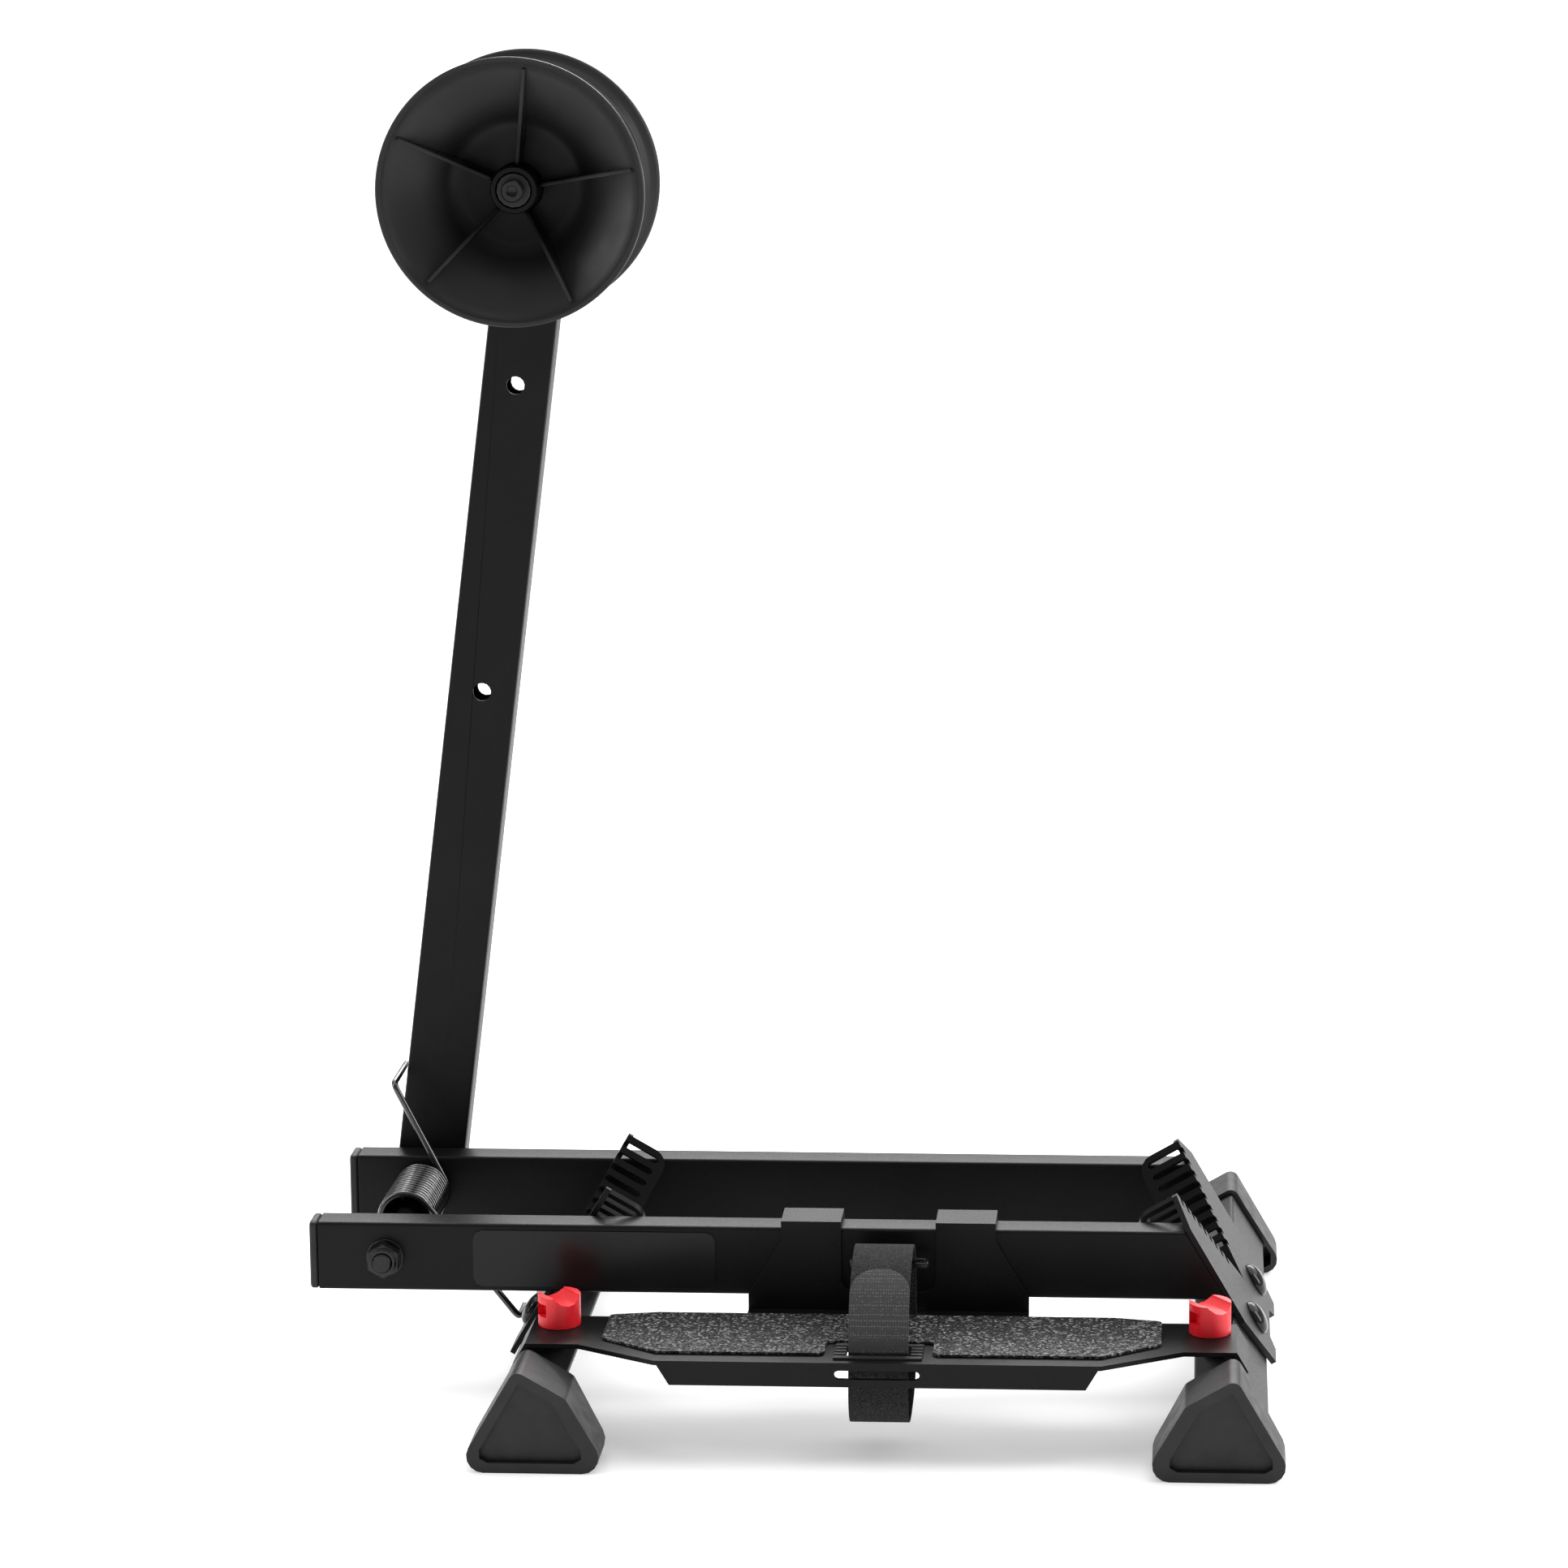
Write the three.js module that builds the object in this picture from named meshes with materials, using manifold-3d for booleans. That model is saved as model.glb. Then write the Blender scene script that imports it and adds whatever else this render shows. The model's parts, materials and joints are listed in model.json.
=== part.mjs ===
// A floor stand that holds a bicycle by one wheel. Two rails carry a pair of leaning, V-notched cradle
// plates, each bolted to a cross leg with plastic feet. The tyre drops into the notches, and a sprung arm
// with a V-grooved roller presses on it. A step plate hangs on the near rail.
// X runs along the rails, Y from the near side to the far side, and Z up from the floor, in millimetres.
import * as THREE from "three";
import { mergeVertices } from "three/addons/utils/BufferGeometryUtils.js";
import Module from "manifold-3d";

const wasm = await Module();
wasm.setup();

// General
const GAP = 0.3; // clearance between pieces that touch
const OVERCUT = 2; // how far a cutting tool runs past the face it opens
const CORNER_SEGMENTS = 2; // flats along a rounded corner
const SIDES_OF_ROUND = 14; // flats round a bolt, washer or bore
const LEAN = THREE.MathUtils.degToRad(30); // of the legs and cradles, from the vertical

// Rails
const RAIL_HEIGHT = 38.1;
const RAIL_WIDTH = 19.05;
const TUBE_WALL = 1.5;
const TUBE_CORNER = 2;
const RAIL_PITCH = 125; // between the rails' mid-planes
const RAIL_BOTTOM = 60.3; // above the floor
const RAIL_LEFT = -310.4; // open end of the tube, before its cap
const RAIL_RIGHT = 160.2; // top corner of the leaning cut
const CAP_FLANGE = 4.4;
const CAP_BEVEL = 1;
const RAIL_TOP = RAIL_BOTTOM + RAIL_HEIGHT;
const RAIL_INNER = (RAIL_PITCH - RAIL_WIDTH) / 2;
const RAIL_OUTER = (RAIL_PITCH + RAIL_WIDTH) / 2;

// Legs and feet
const LEG_NARROW = 25.4;
const LEG_WIDE = 38.1;
const LEG_DROP = 52.8; // down the slope, from the rails' top corner to the leg
const FOOT_OUTREACH = 115.5; // from the rails' outer faces to the feet's
const FOOT_REACH = RAIL_OUTER + FOOT_OUTREACH;
const FOOT_DEPTH = 38;
const FOOT_WALL = 2.6;
const FOOT_TOE = 9; // radius of the two lower corners
const FOOT_CROWN = 5; // radius of the two upper corners
const FOOT_WEB = 5;
const FOOT_SEGMENTS = 5; // flats along a corner of the feet
const FOOT_RECESS = 4;
const FOOT_RECESS_INSET = 5.5;
const FOOT_UNDERCUT = 12; // how much shallower the foot is at the floor
const FOOT_UNDERCUT_HEIGHT = 45;

// Cradle plates, measured up the slope from the rails' top corner
const PLATE = 3;
const TIP_RISE = 15.7;
const TIP_HALF = 54;
const NOTCH_HALF = 50;
const NOTCH_DEPTH = 74;
const SHOULDER_DROP = 59.4;
const LOBE_DROP = 94;
const LOBE_HALF = 50;
const LOBE_INNER = 25.5;
const LOBE_NOTCH = 6;
const FLAP_REACH = 24;
const FLAP_CORNER = 9;
const SLOT_WIDTH = 3.7;
const SLOT_PITCH = 7.45;
const SLOT_REACH = 19;
const SLOT_INTO_PLATE = 2.5;

// Leg bolts
const LEG_BOLT = 8;
const LEG_BOLT_HALF = 32.7; // from the mid-plane
const DOME_RADIUS = 9.75;
const DOME_HEIGHT = 4.8;
const LEG_NUT = 13; // across flats
const LEG_NUT_HEIGHT = 7;

// Arm and its pivot
const PIVOT_X = -273.6;
const PIVOT_Z = RAIL_BOTTOM + RAIL_HEIGHT / 2;
const ARM_LEAN = THREE.MathUtils.degToRad(7.3);
const ARM_WIDE = 38.1;
const ARM_NARROW = 19.05;
const ARM_TAIL = 18; // below the pivot
const ARM_HEAD = 22; // above the roller's axle
const AXLE_REACH = 579; // pivot to roller axle
const SPARE_REACHES = [286, 461]; // pivot to the lower axle holes, for smaller wheels
const AXLE_HOLE = 10.2;
const PIVOT_BOLT = 10;
const PIVOT_HEAD = 16.5; // across flats
const PIVOT_HEAD_HEIGHT = 6.4;
const PIVOT_NUT_HEIGHT = 9;
const WASHER = 1.5;
const WASHER_RADIUS = 10.5;
const BUSH_RADIUS = 7;
const CAP_INSERT = ARM_TAIL - BUSH_RADIUS - OVERCUT; // stops short of the pivot
const SLEEVE_RADIUS = 6.9;
const FIT = 0.2; // radial clearance of what turns on a shaft
const ARM_NEAR = RAIL_OUTER + WASHER + 2 * GAP;
const ARM_FAR = ARM_NEAR + ARM_NARROW;

// Torsion spring
const WIRE = 3.6;
const COIL_RADIUS = 14.5; // to the wire's middle
const COIL_PITCH = 3.95;
const COIL_END_GAP = 0.575; // between the last turn and the far rail
const COIL_FAR = RAIL_INNER - WIRE / 2 - COIL_END_GAP; // from the mid-plane to the last turn
const UPPER_ANGLE = 26.5; // degrees round the coil where the upper leg leaves
const LOWER_ANGLE = 38;
const FULL_TURNS = 14;
const LOWER_LEG = 82.5;
const LEG_BEND = 5;
const LOWER_FOOT = 16;
const HOOK_TIP = 9;
const HOOK_CLEARANCE = 1.6; // between the wire and the arm
const WIRE_SIDES = 5;
const WIRE_STEP = 9.87; // length of one straight along the wire

// Roller
const ROLLER_RADIUS = 71.5;
const ROLLER_HALF = 37;
const WAIST_RADIUS = 37;
const ROLLER_SKIN = 3;
const RIM_LIP = 3;
const HUB_RADIUS = 12.7;
const HUB_BORE = 9.5;
const HUB_LENGTH = 22;
const RIB = 2;
const RIBS = 5;
const ROLLER_SIDES = 24;
const AXLE = 8;
const AXLE_HEAD_RADIUS = 6;
const AXLE_HEAD_HEIGHT = 6;
const AXLE_SOCKET = 5;
const SPACER_RADIUS = 8;

// Step plate, its bracket and what sits on it
const STEP_TOP = 56;
const STEP_PLATE = 2.5;
const STEP_STANDOFF = 20; // from the near rail's face to the step plate
const STEP_BACK = RAIL_OUTER + STEP_STANDOFF;
const STEP_SETBACK = 6;
const STEP_END_BACK = STEP_BACK + STEP_SETBACK;
const STEP_END_DEPTH = 46.5;
const STEP_END_FRONT = STEP_END_BACK + STEP_END_DEPTH;
const STEP_DEPTH = 77;
const STEP_FRONT = STEP_BACK + STEP_DEPTH;
const STEP_CHAMFER_IN = 117;
const STEP_CHAMFER_OUT = 160;
const FLANGE_DROP = 63; // down the slope, to the end flange's edge
const SKIRT_DROP = 13.2;
const SKIRT_TAPER = 8;
const SKIRT_SLOT = 45;
const SKIRT_SLOT_HEIGHT = 4.8;
const STRAP_WIDTH = 32;
const STRAP_THICKNESS = 2.2;
const GROMMET_SIDE = 7.5; // of the grommet, to either side of the strap
const STRAP_OPENING = STRAP_WIDTH + 2 * GROMMET_SIDE;
const STRAP_OPENING_DEPTH = 24;
const STRAP_OPENING_INSET = 5;
const STRAP_OPENING_FRONT = STEP_FRONT - STRAP_OPENING_INSET;
const GROMMET_RIM = 4;
const GROMMET_RIBS = 4;
const TAB_WIDTH = 32.4;
const TAB_SPAN = 116; // over both tabs
const BRACKET_WIDTH = 152;
const BRACKET_SHOULDER = 93; // height where the tabs begin to flare
const BRACKET_FLARE_END = 61.5;
const WINDOW_BOTTOM = 64;
const WINDOW_CORNER = 6.5;
const HOOK_LIP = 12;
const HOOK_RISE = 2; // of the hooks over the rail
const BRACKET_FOOT = 50;
const BRACKET_SLOT_DEPTH = 12;
const RIVET = 2.4;
const PAD = 1.2;
const PAD_HALF = 148;
const KNOB_X = 173.7;
const KNOB_INSET = 19.3; // from the step plate's back edge
const KNOB_Y = -STEP_BACK - KNOB_INSET;
const KNOB_RADIUS = 11.45;
const KNOB_HEIGHT = 16.8;
const KNOB_SADDLE = 9;
const KNOB_SADDLE_DEPTH = 4.5;
const KNOB_TURN = THREE.MathUtils.degToRad(36);
const STUD = 8;

// Strap and badge
const RING_BAR = 2.6;
const RING_SIDE_SLACK = 2.5;
const RING_DEEP_SLACK = 1.6;
const RING_SPAN = STRAP_WIDTH + 2 * (RING_BAR + RING_SIDE_SLACK);
const RING_DEPTH = STRAP_THICKNESS + 2 * (RING_BAR + RING_DEEP_SLACK);
const RING_X = 1.5;
const RING_BEHIND = 4.2; // the step plate's back edge
const RING_Z = 83.5;
const BADGE_WIDTH = 131.7;
const BADGE_HEIGHT = 31.7;
const BADGE_LEFT = -225.7;
const BADGE = 0.5;
const BADGE_CORNER = 5;

function finish(color, roughness, metalness) {
  return () => new THREE.MeshStandardMaterial({ color, roughness, metalness });
}

const paint = finish(0x1b1b1d, 0.5, 0.3);
const darkPlastic = finish(0x2a2a2c, 0.6, 0);
const rollerPlastic = finish(0x1a1a1b, 0.45, 0);
const blackSteel = finish(0x151516, 0.3, 0.7);
const springSteel = finish(0x121213, 0.25, 0.6);
const redPlastic = finish(0xd8121c, 0.45, 0);
const gritPad = finish(0x2b2b2d, 0.95, 0);
const webbing = finish(0x39393b, 0.9, 0);
const badgeFilm = finish(0x232325, 0.35, 0);

const stand = new THREE.Group();
const arm = new THREE.Group();
arm.position.set(PIVOT_X, 0, PIVOT_Z);
arm.rotation.y = ARM_LEAN;
stand.add(arm);

function solid(geometry) {
  const bare = geometry.index ? geometry.toNonIndexed() : geometry.clone();
  bare.deleteAttribute("normal");
  bare.deleteAttribute("uv");
  const merged = mergeVertices(bare, 1e-4);
  const vertProperties = merged.attributes.position.array;
  const triVerts = new Uint32Array(merged.index.array);
  return new wasm.Manifold(new wasm.Mesh({ numProp: 3, vertProperties, triVerts }));
}

function surface(body) {
  const { vertProperties, triVerts } = body.getMesh();
  const geometry = new THREE.BufferGeometry();
  geometry.setAttribute("position", new THREE.BufferAttribute(new Float32Array(vertProperties), 3));
  geometry.setIndex(new THREE.BufferAttribute(new Uint32Array(triVerts), 1));
  return geometry;
}

const joined = (...pieces) => pieces.map(solid).reduce((whole, piece) => whole.add(piece));
const carved = (body, ...tools) => tools.map(solid).reduce((rest, tool) => rest.subtract(tool), body);

function place(parent, name, shape, material) {
  const geometry = shape.isBufferGeometry ? shape : surface(shape);
  const mesh = new THREE.Mesh(geometry, material());
  mesh.name = name;
  parent.add(mesh);
  return mesh;
}

function block([x0, x1], [y0, y1], [z0, z1]) {
  const box = new THREE.BoxGeometry(Math.abs(x1 - x0), Math.abs(y1 - y0), Math.abs(z1 - z0));
  return box.translate((x0 + x1) / 2, (y0 + y1) / 2, (z0 + z1) / 2);
}

// A round bar or a hexagon along Y, from y0 to y1.
function bar(radius, y0, y1, sides = SIDES_OF_ROUND) {
  return new THREE.CylinderGeometry(radius, radius, Math.abs(y1 - y0), sides).translate(0, (y0 + y1) / 2, 0);
}

// A round bar along Z, from z0 to z1.
function uprightBar(radius, z0, z1) {
  return bar(radius, z0, z1).rotateX(Math.PI / 2);
}

function ring(outer, inner, y0, y1, sides = SIDES_OF_ROUND) {
  const low = Math.min(y0, y1);
  const high = Math.max(y0, y1);
  const profile = [[inner, low], [outer, low], [outer, high], [inner, high], [inner, low]];
  return new THREE.LatheGeometry(profile.map(([r, y]) => new THREE.Vector2(r, y)), sides);
}

const hexRadius = (acrossFlats) => acrossFlats / Math.sqrt(3);

function outline(points) {
  return new THREE.Shape(points.map(([x, y]) => new THREE.Vector2(x, y)));
}

function roundedRect(width, height, radius) {
  const [x, y] = [width / 2, height / 2];
  return roundedPolygon([[-x, -y], [x, -y], [x, y], [-x, y]], () => radius);
}

// A polygon whose corners are rounded by tangent arcs, or left sharp where the radius is nought.
function roundedPolygon(points, radiusOf, segments = CORNER_SEGMENTS) {
  return outline(points.flatMap((point, i) => {
    const radius = radiusOf(i);
    if (!radius) return [point];
    const corner = new THREE.Vector2(...point);
    const back = new THREE.Vector2(...points.at(i - 1)).sub(corner).normalize();
    const ahead = new THREE.Vector2(...points[(i + 1) % points.length]).sub(corner).normalize();
    const half = Math.acos(THREE.MathUtils.clamp(back.dot(ahead), -1, 1)) / 2;
    const middle = back.clone().add(ahead).normalize().multiplyScalar(radius / Math.sin(half)).add(corner);
    const from = back.multiplyScalar(radius / Math.tan(half)).add(corner).sub(middle);
    const to = ahead.multiplyScalar(radius / Math.tan(half)).add(corner).sub(middle);
    const turn = Math.atan2(from.cross(to), from.dot(to));
    return Array.from({ length: segments + 1 }, (_, k) => {
      const spot = from.clone().rotateAround(new THREE.Vector2(), (turn * k) / segments).add(middle);
      return [spot.x, spot.y];
    });
  }));
}

// A shape drawn in X and Z, filled from y0 to y1.
function slab(shape, y0, y1) {
  const depth = Math.abs(y1 - y0);
  const geometry = new THREE.ExtrudeGeometry(shape, { depth, bevelEnabled: false });
  return geometry.rotateX(Math.PI / 2).translate(0, Math.max(y0, y1), 0);
}

// A shape drawn in X and Y, filled from z0 to z1.
function sheet(shape, z0, z1) {
  const geometry = new THREE.ExtrudeGeometry(shape, { depth: z1 - z0, bevelEnabled: false });
  return geometry.translate(0, 0, z0);
}

// A rounded bar of section height by width, along X.
function barAlongX(height, width, radius, x0, x1) {
  const section = roundedRect(height, width, radius);
  const length = new THREE.ExtrudeGeometry(section, { depth: x1 - x0, bevelEnabled: false });
  return length.rotateY(Math.PI / 2).translate(x0, 0, 0);
}

// The leaning frame that the legs and cradles share: X out through the plate, Z up the slope.
const slope = new THREE.Matrix4().makeRotationY(-LEAN).setPosition(RAIL_RIGHT, 0, RAIL_TOP);

function onSlope(out, down) {
  const point = new THREE.Vector3(out, 0, -down).applyMatrix4(slope);
  return [point.x, point.z];
}

const ENDS = { right: 0, left: Math.PI };
const SIDES = { near: -1, far: 1 };

// ---- Rails and their end caps
function rail(side) {
  const y = (side * RAIL_PITCH) / 2;
  const past = RAIL_RIGHT + 3 * RAIL_HEIGHT;
  const outer = barAlongX(RAIL_HEIGHT, RAIL_WIDTH, TUBE_CORNER, RAIL_LEFT, past);
  const hollow = barAlongX(
    RAIL_HEIGHT - 2 * TUBE_WALL, RAIL_WIDTH - 2 * TUBE_WALL, TUBE_CORNER - TUBE_WALL / 2,
    RAIL_LEFT - OVERCUT, past + OVERCUT,
  );
  [outer, hollow].forEach((piece) => piece.translate(0, y, PIVOT_Z));
  const beyond = block([0, 6 * RAIL_HEIGHT], [y - RAIL_WIDTH, y + RAIL_WIDTH], [-6 * RAIL_HEIGHT, RAIL_HEIGHT]);
  const bore = bar(PIVOT_BOLT / 2 + GAP, y - RAIL_WIDTH, y + RAIL_WIDTH).translate(PIVOT_X, 0, PIVOT_Z);
  return carved(solid(outer), hollow, beyond.applyMatrix4(slope), bore);
}

function endCap(height, width) {
  const section = roundedRect(height - 2 * CAP_BEVEL, width - 2 * CAP_BEVEL, TUBE_CORNER);
  const flange = new THREE.ExtrudeGeometry(section, {
    depth: CAP_FLANGE - 2 * CAP_BEVEL, bevelThickness: CAP_BEVEL, bevelSize: CAP_BEVEL, bevelSegments: 1,
  }).rotateY(Math.PI / 2).translate(CAP_BEVEL - CAP_FLANGE - GAP, 0, 0);
  const slack = 2 * (TUBE_WALL + GAP);
  const insert = barAlongX(height - slack, width - slack, TUBE_CORNER, -CAP_BEVEL, CAP_INSERT);
  return joined(flange, insert);
}

for (const [sideName, side] of Object.entries(SIDES)) {
  place(stand, `${sideName}_rail`, rail(side), paint);
  const cap = place(stand, `${sideName}_rail_cap`, endCap(RAIL_HEIGHT, RAIL_WIDTH), darkPlastic);
  cap.position.set(RAIL_LEFT, (side * RAIL_PITCH) / 2, PIVOT_Z);
}

// ---- Cradle plates: a leaning plate with a V notch, and a slotted flap along each side of the notch
const flapAngle = Math.atan2(NOTCH_HALF, NOTCH_DEPTH);
const notchBottom = TIP_RISE - NOTCH_DEPTH;
const flapFoot = (GAP + OVERCUT + notchBottom * -1 - LEG_DROP + PLATE * Math.sin(flapAngle)) / Math.cos(flapAngle);
const flapHead = NOTCH_DEPTH / Math.cos(flapAngle);

function cradleOutline(halfWidth) {
  const half = [
    [0, notchBottom], [NOTCH_HALF, TIP_RISE], [Math.min(TIP_HALF, halfWidth), TIP_RISE], [halfWidth, 0],
    [halfWidth, -SHOULDER_DROP], [LOBE_HALF, -LOBE_DROP], [LOBE_INNER + LOBE_NOTCH / 2, -LOBE_DROP],
    [LOBE_INNER - LOBE_NOTCH / 2, LOBE_NOTCH - LOBE_DROP],
  ];
  const mirrored = half.slice(1).reverse().map(([y, z]) => [-y, z]);
  return outline([...half, ...mirrored]);
}

// Turns a shape drawn with X across and Y up into one that stands in the plate, facing along X.
const uprightInPlate = new THREE.Matrix4().makeBasis(
  new THREE.Vector3(0, 1, 0), new THREE.Vector3(0, 0, 1), new THREE.Vector3(1, 0, 0),
);

// The flap's own frame: X out through the plate, Y through the flap, Z up along the bend.
function flapFrame(side) {
  const through = new THREE.Vector3(0, Math.cos(flapAngle), -side * Math.sin(flapAngle));
  const up = new THREE.Vector3(0, side * Math.sin(flapAngle), Math.cos(flapAngle));
  return new THREE.Matrix4().makeBasis(new THREE.Vector3(1, 0, 0), through, up).setPosition(0, 0, notchBottom);
}

function flap(side) {
  const [inner, outer] = [GAP - FLAP_REACH, GAP + PLATE];
  const edge = [[inner, flapFoot], [outer, flapFoot], [outer, flapHead], [inner, flapHead]];
  const blank = roundedPolygon(edge, (i) => (i === 3 ? FLAP_CORNER : 0), 4);
  const [y0, y1] = [0, side * PLATE];
  return slab(blank, y0, y1).applyMatrix4(flapFrame(side));
}

function flapSlots(side) {
  const count = Math.floor((flapHead - flapFoot - SLOT_WIDTH) / SLOT_PITCH);
  const first = flapHead - SLOT_PITCH * (count - 0.25);
  const [y0, y1] = [-side * OVERCUT, side * (PLATE + SLOT_INTO_PLATE)];
  return Array.from({ length: count }, (_, i) => {
    const [near, far, half] = [GAP + PLATE + OVERCUT, -SLOT_REACH, SLOT_WIDTH / 2];
    const slot = roundedPolygon([[near, -half], [near, half], [far, half], [far, -half]], (k) => (k > 1 ? half * 0.9 : 0), 1);
    return slab(slot, y0, y1).translate(0, 0, first + i * SLOT_PITCH).applyMatrix4(flapFrame(side));
  });
}

const legBoltDown = LEG_DROP + LEG_WIDE / 2;

function legBoltBore(side, x0, x1) {
  const bore = bar(LEG_BOLT / 2 + GAP, x0, x1).rotateZ(-Math.PI / 2);
  return bore.translate(0, side * LEG_BOLT_HALF, -legBoltDown);
}

function cradle(halfWidth) {
  const plate = sheet(cradleOutline(halfWidth), GAP, GAP + PLATE).applyMatrix4(uprightInPlate);
  const sides = Object.values(SIDES);
  const slots = sides.flatMap(flapSlots);
  const bores = sides.map((side) => legBoltBore(side, -OVERCUT, 2 * PLATE));
  return carved(joined(plate, ...sides.map(flap)), ...slots, ...bores);
}

// ---- Cross legs and their bolts
function leg(knobY) {
  const reach = FOOT_REACH - FOOT_RECESS - FOOT_WEB - GAP;
  const inner = [LEG_NARROW - 2 * TUBE_WALL, LEG_WIDE - 2 * TUBE_WALL];
  const centre = [-LEG_NARROW / 2, 0, -legBoltDown];
  const tube = slab(roundedRect(LEG_NARROW, LEG_WIDE, TUBE_CORNER), -reach, reach);
  const hollow = slab(roundedRect(...inner, TUBE_CORNER - TUBE_WALL / 2), -reach - 1, reach + 1);
  [tube, hollow].forEach((piece) => piece.translate(...centre));
  const bores = Object.values(SIDES).map((side) => legBoltBore(side, -TUBE_WALL - OVERCUT, OVERCUT));
  const studBore = uprightBar(STUD / 2 + GAP, STEP_TOP - LEG_WIDE / 2, STEP_TOP)
    .translate(KNOB_X, knobY, 0).applyMatrix4(slope.clone().invert());
  return carved(solid(tube), hollow, ...bores, studBore);
}

function legBolt() {
  const arc = Array.from({ length: 4 }, (_, i) => (i * Math.PI) / 6);
  const dome = arc.map((a) => [DOME_RADIUS * Math.sin(a), DOME_HEIGHT * Math.cos(a)]);
  const shank = -(PLATE + TUBE_WALL + LEG_NUT_HEIGHT + 3 * GAP + 2);
  const profile = [...dome, [LEG_BOLT / 2, 0], [LEG_BOLT / 2, shank], [0, shank]].reverse();
  const points = profile.map(([r, y]) => new THREE.Vector2(r, y));
  return new THREE.LatheGeometry(points, SIDES_OF_ROUND).rotateZ(-Math.PI / 2).translate(2 * GAP + PLATE, 0, 0);
}

function nut(acrossFlats, bore, height) {
  const collar = height / 4;
  const body = joined(
    bar(hexRadius(acrossFlats), 0, height - collar, 6), bar(acrossFlats / 2 - 1, height / 2, height),
  );
  return carved(body, bar(bore / 2 + GAP, -1, height + 1));
}

// ---- Feet, drawn in the X and Z of the right-hand leg
function footOutline(inset) {
  const top = onSlope(FOOT_WALL - inset, LEG_DROP - FOOT_WALL + inset);
  const shoulder = onSlope(inset - LEG_NARROW - FOOT_WALL, LEG_DROP - FOOT_WALL + inset);
  const spread = ([x, z], side) => [x + side * (z - inset) * Math.tan(LEAN), inset];
  const corners = [spread(shoulder, -1), spread(top, 1), top, shoulder];
  const radius = (i) => Math.max((i < 2 ? FOOT_TOE : FOOT_CROWN) - 0.8 * inset, 1);
  return roundedPolygon(corners, radius, inset ? CORNER_SEGMENTS : FOOT_SEGMENTS);
}

function foot(side) {
  const y = (depth) => side * (FOOT_REACH - depth);
  const bottom = FOOT_RECESS + FOOT_WEB;
  const shell = solid(slab(footOutline(0), y(FOOT_DEPTH), y(0)));
  const pocket = slab(footOutline(FOOT_WALL), y(FOOT_DEPTH + OVERCUT), y(bottom));
  const recess = slab(footOutline(FOOT_RECESS_INSET), y(FOOT_RECESS), y(-OVERCUT));
  const socketSize = [LEG_NARROW, LEG_WIDE].map((size) => size + 2 * FOOT_WALL);
  const holeSize = [LEG_NARROW, LEG_WIDE].map((size) => size + 2 * GAP);
  const seat = (shape, y0, y1) =>
    slab(shape, y0, y1).translate(-LEG_NARROW / 2, 0, -legBoltDown).applyMatrix4(slope);
  const socket = solid(seat(roundedRect(...socketSize, FOOT_CROWN), y(FOOT_DEPTH), y(bottom - 1)));
  const hole = seat(roundedRect(...holeSize, TUBE_CORNER), y(FOOT_DEPTH + OVERCUT), y(bottom));
  const hollowed = carved(shell, pocket, recess).add(socket.intersect(shell));
  return carved(hollowed, hole, undercut(y));
}

// The foot's inner face slants back towards the floor.
function undercut(y) {
  const wedge = outline([
    [y(FOOT_DEPTH + OVERCUT), FOOT_UNDERCUT_HEIGHT], [y(FOOT_DEPTH), FOOT_UNDERCUT_HEIGHT],
    [y(FOOT_DEPTH - FOOT_UNDERCUT), -OVERCUT], [y(FOOT_DEPTH + OVERCUT), -OVERCUT],
  ]);
  const length = 4 * LEG_WIDE;
  const geometry = new THREE.ExtrudeGeometry(wedge, { depth: length, bevelEnabled: false });
  return geometry.applyMatrix4(uprightInPlate).translate(RAIL_RIGHT - length / 3, 0, 0);
}

function buildEnd(endName, turn) {
  const end = new THREE.Group();
  end.rotation.z = turn;
  const leaning = new THREE.Group();
  slope.decompose(leaning.position, leaning.quaternion, leaning.scale);
  end.add(leaning);
  stand.add(end);
  const inTheEnd = Math.cos(turn);
  const halfWidth = endName === "right" ? RAIL_OUTER : RAIL_INNER - GAP;
  place(leaning, `${endName}_cradle`, cradle(halfWidth), paint);
  place(leaning, `${endName}_leg`, leg(inTheEnd * KNOB_Y), paint);
  for (const [sideName, side] of Object.entries(SIDES)) {
    const local = inTheEnd * side;
    place(end, `${endName}_${sideName}_foot`, foot(local), darkPlastic);
    const bolt = place(leaning, `${endName}_${sideName}_leg_bolt`, legBolt(), blackSteel);
    bolt.position.set(0, local * LEG_BOLT_HALF, -legBoltDown);
    const legNut = place(leaning, `${endName}_${sideName}_leg_nut`, nut(LEG_NUT, LEG_BOLT, LEG_NUT_HEIGHT), blackSteel);
    legNut.rotation.z = Math.PI / 2;
    legNut.position.set(-TUBE_WALL - GAP, local * LEG_BOLT_HALF, -legBoltDown);
  }
}

Object.entries(ENDS).forEach(([endName, turn]) => buildEnd(endName, turn));

// ---- Pivot bolt, its nut and washers, and the sleeve that the spring is wound round
const nearWasher = -RAIL_OUTER - GAP;
const nearNut = nearWasher - WASHER - GAP;
const farWasher = ARM_FAR + GAP;
const boltHead = farWasher + WASHER + GAP;

function pivotBolt() {
  const end = nearNut - PIVOT_NUT_HEIGHT - 1.5;
  const head = bar(hexRadius(PIVOT_HEAD), boltHead, boltHead + PIVOT_HEAD_HEIGHT, 6);
  return joined(head, bar(PIVOT_BOLT / 2, end, boltHead + 1));
}

function atPivot(name, shape, material) {
  return place(stand, name, shape, material).position.set(PIVOT_X, 0, PIVOT_Z);
}

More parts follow.
